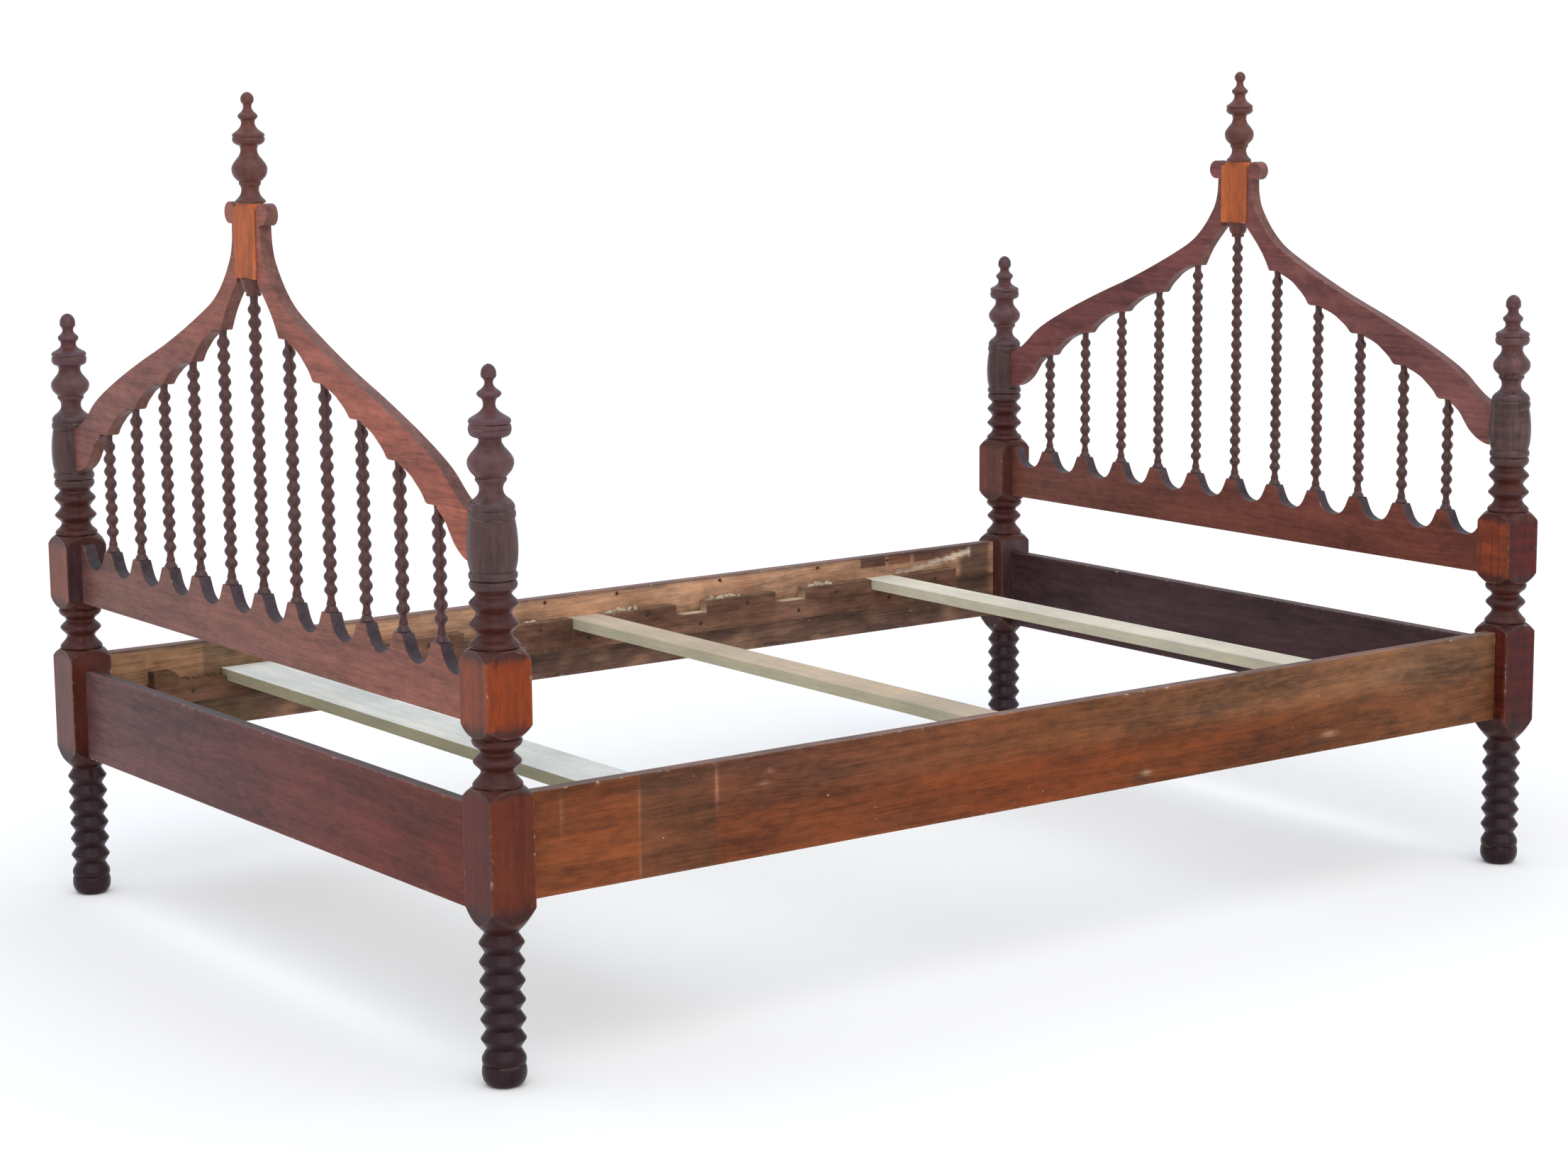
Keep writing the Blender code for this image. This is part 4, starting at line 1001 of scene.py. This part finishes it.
def rail_paint(points, s, lo, hi):
    x, z = points[:, 0], points[:, 2]
    out = s * (points[:, 1] - (lo[1] + hi[1]) / 2) > 0
    rng = np.random.default_rng(41 + s)
    # outer face
    f = np.clip((z - 300) / 42.0, 0, 1)
    f = (f * f * (3 - 2 * f))[:, None]
    up = np.column_stack([np.interp(x, FACE_X, FACE_UP[:, i]) for i in range(3)])
    low = np.column_stack([np.interp(x, FACE_X, FACE_LOW[:, i]) for i in range(3)])
    face = low * (1 - f) + up * f
    for px, pz, rx, rz, rgb, k in ((150, 256, 16, 7, (62, 42, 34), 0.7), (162, 262, 9, 4, (170, 140, 112), 0.6), (520, 262, 22, 8, (66, 46, 38), 0.6), (548, 270, 14, 5, (164, 132, 104), 0.6),
                                   (-560, 372, 90, 9, (78, 52, 44), 0.45), (-420, 350, 60, 12, (84, 56, 44), 0.35), (-700, 366, 60, 9, (78, 54, 44), 0.4),
                                   (-540, 346, 9, 2.5, (176, 120, 100), 0.6), (-530, 362, 5, 3, (176, 120, 100), 0.5), (-868, 352, 1.6, 26, (156, 112, 84), 0.35),
                                   (-620.5, 356, 1.4, 30, (178, 126, 104), 0.5), (-745.5, 340, 1.2, 46, (156, 110, 84), 0.4), (-745.5, 262, 1.2, 16, (160, 116, 92), 0.4), (300, 340, 60, 10, (134, 96, 70), 0.35), (-300, 262, 40, 8, (96, 58, 42), 0.4), (700, 352, 70, 8, (136, 104, 80), 0.3)):
        face = blend(face, rgb, k * spot(points, px, pz, rx, rz))
    # inner face: orange above the ledger, dark and mottled below it
    mottle = sum(np.sin(x / rng.uniform(9, 46) + rng.uniform(0, 6)) * np.sin(z / rng.uniform(6, 20) + rng.uniform(0, 6)) for _ in range(6)) / 6
    under = blend(np.tile(lin((94, 69, 58)), (len(x), 1)), (130, 100, 80), np.clip(mottle * 1.8, 0, 0.8)[:, None])
    under = blend(under, (128, 98, 78), 0.7 * np.exp(-(((x - 325) - (z - 265) * 0.9) / 26.0) ** 2)[:, None])
    over = blend(np.tile(lin((170, 130, 102)), (len(x), 1)), (138, 98, 72), np.clip(mottle * 1.2, 0, 0.6)[:, None])
    inner = np.where((z > LEDGER_TOP - 20)[:, None], over, under)
    inner = np.where((x < -849)[:, None], blend(np.tile(lin((146, 108, 78)), (len(x), 1)), (120, 88, 64), np.clip(mottle, 0, 0.5)[:, None]), inner)
    inner = blend(inner, (150, 112, 80), patch(points, -849, -750, LEDGER_TOP - 22, 400, 3.0) * 0.8)
    inner = blend(inner, (104, 82, 60), patch(points, -750, -640, 200, 400, 2.0) * 0.75)
    # darker end next to the post: painted shadow of the post over darker-stained wood
    inner = blend(inner, (88, 66, 56), patch(points, 838, 910, 200, 400, 10.0) * 0.85)
    for x0, x1, rgb in ((601, 661, (80, 54, 46)), (667, 722, (110, 68, 54)), (727, 836, (92, 58, 50))):
        inner = blend(inner, rgb, patch(points, x0, x1, 365, 400, 2.0) * 0.85)
    along = np.clip((x - 684) / 176.0, 0, 1)
    off = np.abs(z - (350 + 24 * along ** 1.3)) / (2.4 + 3.0 * along + 1.4 * np.sin(x * 0.33) + 0.8 * np.sin(x * 0.9))
    inner = blend(inner, (206, 188, 166), (np.clip(1.5 - off, 0, 1) * (x > 684) * (x < 866))[:, None] * 0.9)
    inner = blend(inner, (74, 62, 66), patch(points, -910, 910, hi[2] - 3.4, 400, 1.0) * 0.8)
    colour = np.where(out[:, None], face, inner)
    top = z > hi[2] - 0.6
    colour[top] = lin((118, 88, 78))
    return colour / lin(SIDE_RAIL_BASE) - 1.0


def ledger_piece(side, s):
    """Notched strip built from cross-sections, so that each notch has crisp corners."""
    la, lb = box_mm(f"ledger_{side}")
    rng = np.random.default_rng(7 + s)
    zb, zt = la[2], lb[2]
    inner = la[1] if s > 0 else lb[1]
    stations = []
    edges = []
    for k in range(7):
        c, w, floor = (-674.0, 92.0, 320.5) if k == 0 else (-676.5 + 219.6 * k, 67.0, 329.0)
        edges.append((c - w / 2, c + w / 2, floor))
    xs = set(np.round(np.arange(la[0] + 4, lb[0] - 3, 5.0), 3))
    for l, r, floor in edges:
        xs = {q for q in xs if abs(q - l) > 2.6 and abs(q - r) > 2.6}
    for q in sorted(xs):
        floor = next((e[2] for e in edges if e[0] < q < e[1]), None)
        if floor is not None:
            stations.append((q, floor - abs(rng.normal(0, 0.12)), 0.0))
            continue
        top = zt - abs(rng.normal(0, 0.45))
        if s > 0 and q < edges[0][0]:
            depth = 19.0 * min(1.0, max(0.0, (q + 812) / 14.0)) * min(1.0, max(0.0, (edges[0][0] + 6 - q) / 8.0))
            top -= depth * (0.9 + 0.1 * math.sin(q * 0.5)) + abs(rng.normal(0, 0.6))
        stations.append((q, top, 0.0))
    broken = zt - 20.0 if s > 0 else zt
    for k, (l, r, floor) in enumerate(edges):
        left = broken if k == 0 and s > 0 else zt
        stations += [(l - 1.0, left - 0.2, 0.3), (l - 0.1, left - 0.9, 1.0), (l, floor, 0.2), (l + 1.4, floor, 0.0), (r - 1.4, floor, 0.0), (r, floor, 0.2), (r + 0.1, zt - 0.9, 1.0), (r + 1.0, zt - 0.2, 0.3)]
    stations += [(la[0], zt - 0.8, 0.8), (la[0] + 0.7, zt, 0.4), (lb[0] - 0.7, zt, 0.4), (lb[0], zt - 0.8, 0.8)]
    stations.sort()
    y0, y1 = la[1], lb[1]
    c = 0.7
    verts, wear, tint = [], [], []
    for q, top, w in stations:
        cap = c if q in (la[0], lb[0]) else 0.0
        floor = any(e[0] <= q <= e[1] for e in edges)
        loop = [(y0 + c, zb + cap), (y1 - c, zb + cap), (y1 - cap, zb + c), (y1 - cap, zb + (top - zb) * 0.35), (y1 - cap, zb + (top - zb) * 0.7), (y1 - cap, top - c), (y1 - c, top),
                (y1 - 5, top), ((y0 + y1) / 2, top), (y0 + 5, top), (y0 + c, top), (y0 + cap, top - c), (y0 + cap, zb + (top - zb) * 0.7), (y0 + cap, zb + (top - zb) * 0.35), (y0 + cap, zb + c)]
        for i, (y, z) in enumerate(loop):
            verts.append((q, y, z))
            wear.append(max(w * (z > zb + 20), 0.8 if i in (5, 6, 10, 11) else (0.4 if i in (0, 1, 2, 14) else 0.0)))
            col = lin((102, 72, 58))
            if i in (6, 7, 8, 9, 10):
                col = lin((120, 92, 74)) if floor else lin((124, 96, 76))
                if s > 0 and floor and (182 < q < 250 or 405 < q < 470):
                    col = lin((176, 156, 132))
            if s > 0 and q < edges[0][0] and z > zb + 24:
                col = lin((96, 68, 50))
            col = col * (1 + 0.16 * math.sin(q * 0.031 + s) + 0.10 * math.sin(q * 0.11 + z * 0.2))
            tint.append(col / lin(LEDGER_BASE) - 1.0)
    m = 15
    faces = grid_faces(len(stations), m)
    faces.append(tuple(range(m))[::-1])
    faces.append(tuple(range((len(stations) - 1) * m, len(stations) * m)))
    ob = make(f"ledger_strip_{side}", verts, faces, MAT["ledger"], attrs={"wear": wear, "tint": tint, "seed": [18 + s] * len(verts)}, replaces=(f"ledger_{side}",), slot="ledger_wood", angle=30)
    smooth(ob)
    # screws through the ledger into the rail
    for i, (px, pz) in enumerate(((-780, 312), (-560, 334), (-455, 309), (-340, 334), (-235, 310), (-117, 335), (-17, 310), (107, 337), (221, 309), (324, 336), (440, 309), (526, 334), (650, 310), (760, 334))):
        screw(f"ledger_screw_{side}_{i + 1:02d}", px, inner, pz, -s, 0.5 * i)


def screw(name, x, y, z, way, turn):
    """Slotted dome head standing a little proud of the ledger."""
    prof = [(-0.6, 3.4), (0.0, 3.5), (0.5, 3.3), (0.95, 2.5), (1.2, 1.5), (1.28, 0.8)]
    sides = 20
    verts, faces = [], []
    for d, r in prof:
        for i in range(sides):
            a = math.tau * i / sides
            px, pz = r * math.cos(a), r * math.sin(a)
            u = px * math.cos(turn) + pz * math.sin(turn)
            sink = 0.55 * (1 if abs(u) < 0.75 and d > 0.4 else 0)
            verts.append((x + px, y + way * (d - sink), z + pz))
    faces = grid_faces(len(prof), sides)
    faces.append(tuple(range(sides))[::-1])
    faces.append(tuple(range((len(prof) - 1) * sides, len(prof) * sides)))
    ob = make(name, verts, faces, MAT["steel"], slot="steel")
    smooth(ob)


def crumbs(name, runs, y0, y1, z):
    """Crumbly residue left along the tops of the teeth: small irregular closed lumps."""
    rng = np.random.default_rng(3)
    verts, faces = [], []
    for x0, x1 in runs:
        x = x0
        while x < x1:
            r = rng.uniform(2.0, 4.4)
            h = rng.uniform(2.0, 8.0) * min(1.0, 0.35 + (x - x0) * (x1 - x) / 500.0)
            cy = rng.uniform(y0 + 5.2, y1 - 5.2)
            n = len(verts)
            for i, (fz, fr) in enumerate(((-0.45, 0.7), (0.1, 1.05), (0.55, 0.8), (0.9, 0.4))):
                for j in range(9):
                    a = math.tau * j / 9
                    k = fr * (1 + 0.25 * math.sin(3 * a + i + x) + rng.uniform(-0.12, 0.12))
                    verts.append((x + r * k * math.cos(a) * 1.3, cy + r * k * math.sin(a), z + h * fz))
            faces += [tuple(n + q for q in f) for f in grid_faces(4, 9)]
            faces.append(tuple(n + j for j in range(9))[::-1])
            faces.append(tuple(n + 27 + j for j in range(9)))
            x += rng.uniform(2.6, 7.5)
    ob = make(name, verts, faces, MAT["residue"], slot="ledger_wood", angle=60)
    smooth(ob)


MAT["residue"] = wood("residue", 'X', (176, 160, 138), contrast=0.3, rough=0.9, spec=0.05, pores=0.5, bump=0.6, coarse=2.0)

for side, s in (("near", -1), ("far", 1)):
    a, b = box_mm(f"side_rail_{side}")
    y = (a[1] + b[1]) / 2
    cuts = []
    for end, ex in (("foot", -1), ("head", 1)):
        ia, ib = box_mm(f"rail_iron_{end}_{side}")
        e = ex * (AX - HALF - GAP)
        cuts.append(((e - ex * 3.3, y - 9.3, ia[2] - GAP), (e + ex * 5, y + 9.3, ib[2] + GAP)))
    rail = bar(f"side_board_{side}", 'X', a, b, MAT["side_rail"], seed=15 + s, cuts=cuts, replaces=(f"side_rail_{side}",), step=6.0, across=4.0,
               marks=(-868.0, -747.0, -745.0, -622.0, -620.0), paint=lambda v, s=s, a=a, b=b: rail_paint(v, s, a, b))
    face = a[1] if s > 0 else b[1]
    boolean(rail, [rod_tool((px, face, pz), r, 12.0, 14) for px, pz, r in ((-93, 378, 2.2), (57, 378, 2.2), (280, 378, 2.4), (500, 378, 2.2), (-829, 341, 3.0), (664, 376, 2.2))], 'DIFFERENCE')
    smooth(rail)
    ledger_piece(side, s)
la, lb = box_mm("ledger_far")
crumbs("ledger_residue_far", ((-140, -120), (24, 92), (245, 312), (470, 518)), la[1], lb[1], LEDGER_TOP)

# slat colours, top and side: pale pine, with the light on the tops and the shade on the sides painted in
SLAT_COLOUR_AND_LIGHT = {1: ((203, 200, 192), (172, 165, 136)), 2: ((182, 162, 140), (182, 172, 146)), 3: ((206, 196, 178), (186, 178, 156))}
for i in (1, 2, 3):
    a, b = box_mm(f"slat_{i}")

    def slat_paint(v, i=i, b=b):
        top, side = (lin(c) for c in SLAT_COLOUR_AND_LIGHT[i])
        # side colour grading into the top colour: the difference between them is painted light and shade
        f = np.clip((v[:, 2] - (b[2] - 1.2)) / 1.0, 0, 1)[:, None]
        k = 1 + 0.05 * np.sin(v[:, 1] / 90.0 + i)[:, None] + 0.03 * np.sin(v[:, 1] / 31.0 + 2 * i)[:, None]
        return (side * (1 - f) + top * f) * k / lin(SLAT_BASE) - 1.0
    bar(f"slat_board_{i}", 'Y', a, b, MAT["slat"], radius=1.0, step=12.0, across=6.0, seed=50 + i, body=f"slat_{i}", replaces=(f"slat_{i}",), wear=0.5, paint=slat_paint)

for name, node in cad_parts.items():
    if name.startswith(("rail_iron", "hook_pin")):
        node.data.materials.clear()
        node.data.materials.append(MAT["steel"])

# ---------------------------------------------------------------- floor, light, camera
mesh = bpy.data.meshes.new("floor")
mesh.from_pydata([(-3000, -3000, -0.0005), (3000, -3000, -0.0005), (3000, 3000, -0.0005), (-3000, 3000, -0.0005)], [], [(0, 1, 2, 3)])
floor = bpy.data.objects.new("floor", mesh)
scene.collection.objects.link(floor)
fl = Nodes("floor_pale")
fl.bsdf.inputs["Base Color"].default_value = (0.90, 0.86, 0.82, 1)
fl.bsdf.inputs["Roughness"].default_value = 0.9
fl.bsdf.inputs["Specular IOR Level"].default_value = 0.0
mesh.materials.append(fl.mat)

world = bpy.data.worlds.new("studio")
scene.world = world
world.use_nodes = True
wt = world.node_tree
bg = wt.nodes["Background"]
tc = wt.nodes.new("ShaderNodeTexCoord")
sep = wt.nodes.new("ShaderNodeSeparateXYZ")
wt.links.new(tc.outputs["Generated"], sep.inputs[0])
ramp = wt.nodes.new("ShaderNodeValToRGB")
els = ramp.color_ramp.elements
els[0].position, els[0].color = 0.0, (1.06, 1.06, 1.06, 1)
els[1].position, els[1].color = 1.0, (1.06, 1.18, 1.32, 1)
for at, tone in ((0.02, (1.06, 1.06, 1.06, 1)), (0.08, (0.66, 0.68, 0.71, 1)), (0.45, (0.86, 0.92, 1.0, 1))):
    e = els.new(at)
    e.color = tone
wt.links.new(sep.outputs["Z"], ramp.inputs[0])
wt.links.new(ramp.outputs[0], bg.inputs[0])
bg.inputs[1].default_value = 0.95


def sun(name, towards, angle, strength, colour):
    light = bpy.data.lights.new(name, 'SUN')
    light.angle = math.radians(angle)
    light.energy = strength
    light.color = colour
    ob = bpy.data.objects.new(name, light)
    scene.collection.objects.link(ob)
    ob.rotation_mode = 'QUATERNION'
    ob.rotation_quaternion = Vector(towards).to_track_quat('-Z', 'Y')
    return ob


sun("key", (0.15, 0.75, -0.62), 70, 0.9, (1.0, 0.93, 0.84))
sun("sky", (0.2, 0.15, -1.0), 100, 0.5, (0.72, 0.84, 1.0))

YAW, PITCH_CAM, ROLL = math.radians(36.299), math.radians(9.517), math.radians(-0.501)
fw = Vector((math.sin(YAW) * math.cos(PITCH_CAM), math.cos(YAW) * math.cos(PITCH_CAM), -math.sin(PITCH_CAM)))
rt = Vector((math.cos(YAW), -math.sin(YAW), 0.0))
up = rt.cross(fw)
r2 = rt * math.cos(ROLL) + up * math.sin(ROLL)
u2 = -rt * math.sin(ROLL) + up * math.cos(ROLL)
cam = bpy.data.cameras.new("camera")
cam.sensor_width = 36.0
cam.lens = 4715.4 * 36.0 / 2212.0
cam.clip_end = 6000.0
cam_ob = bpy.data.objects.new("camera", cam)
scene.collection.objects.link(cam_ob)
m = Matrix((r2, u2, -fw)).transposed().to_4x4()
m.translation = Vector((-3.1493, -4.2427, 1.3609))
cam_ob.matrix_world = m
scene.camera = cam_ob
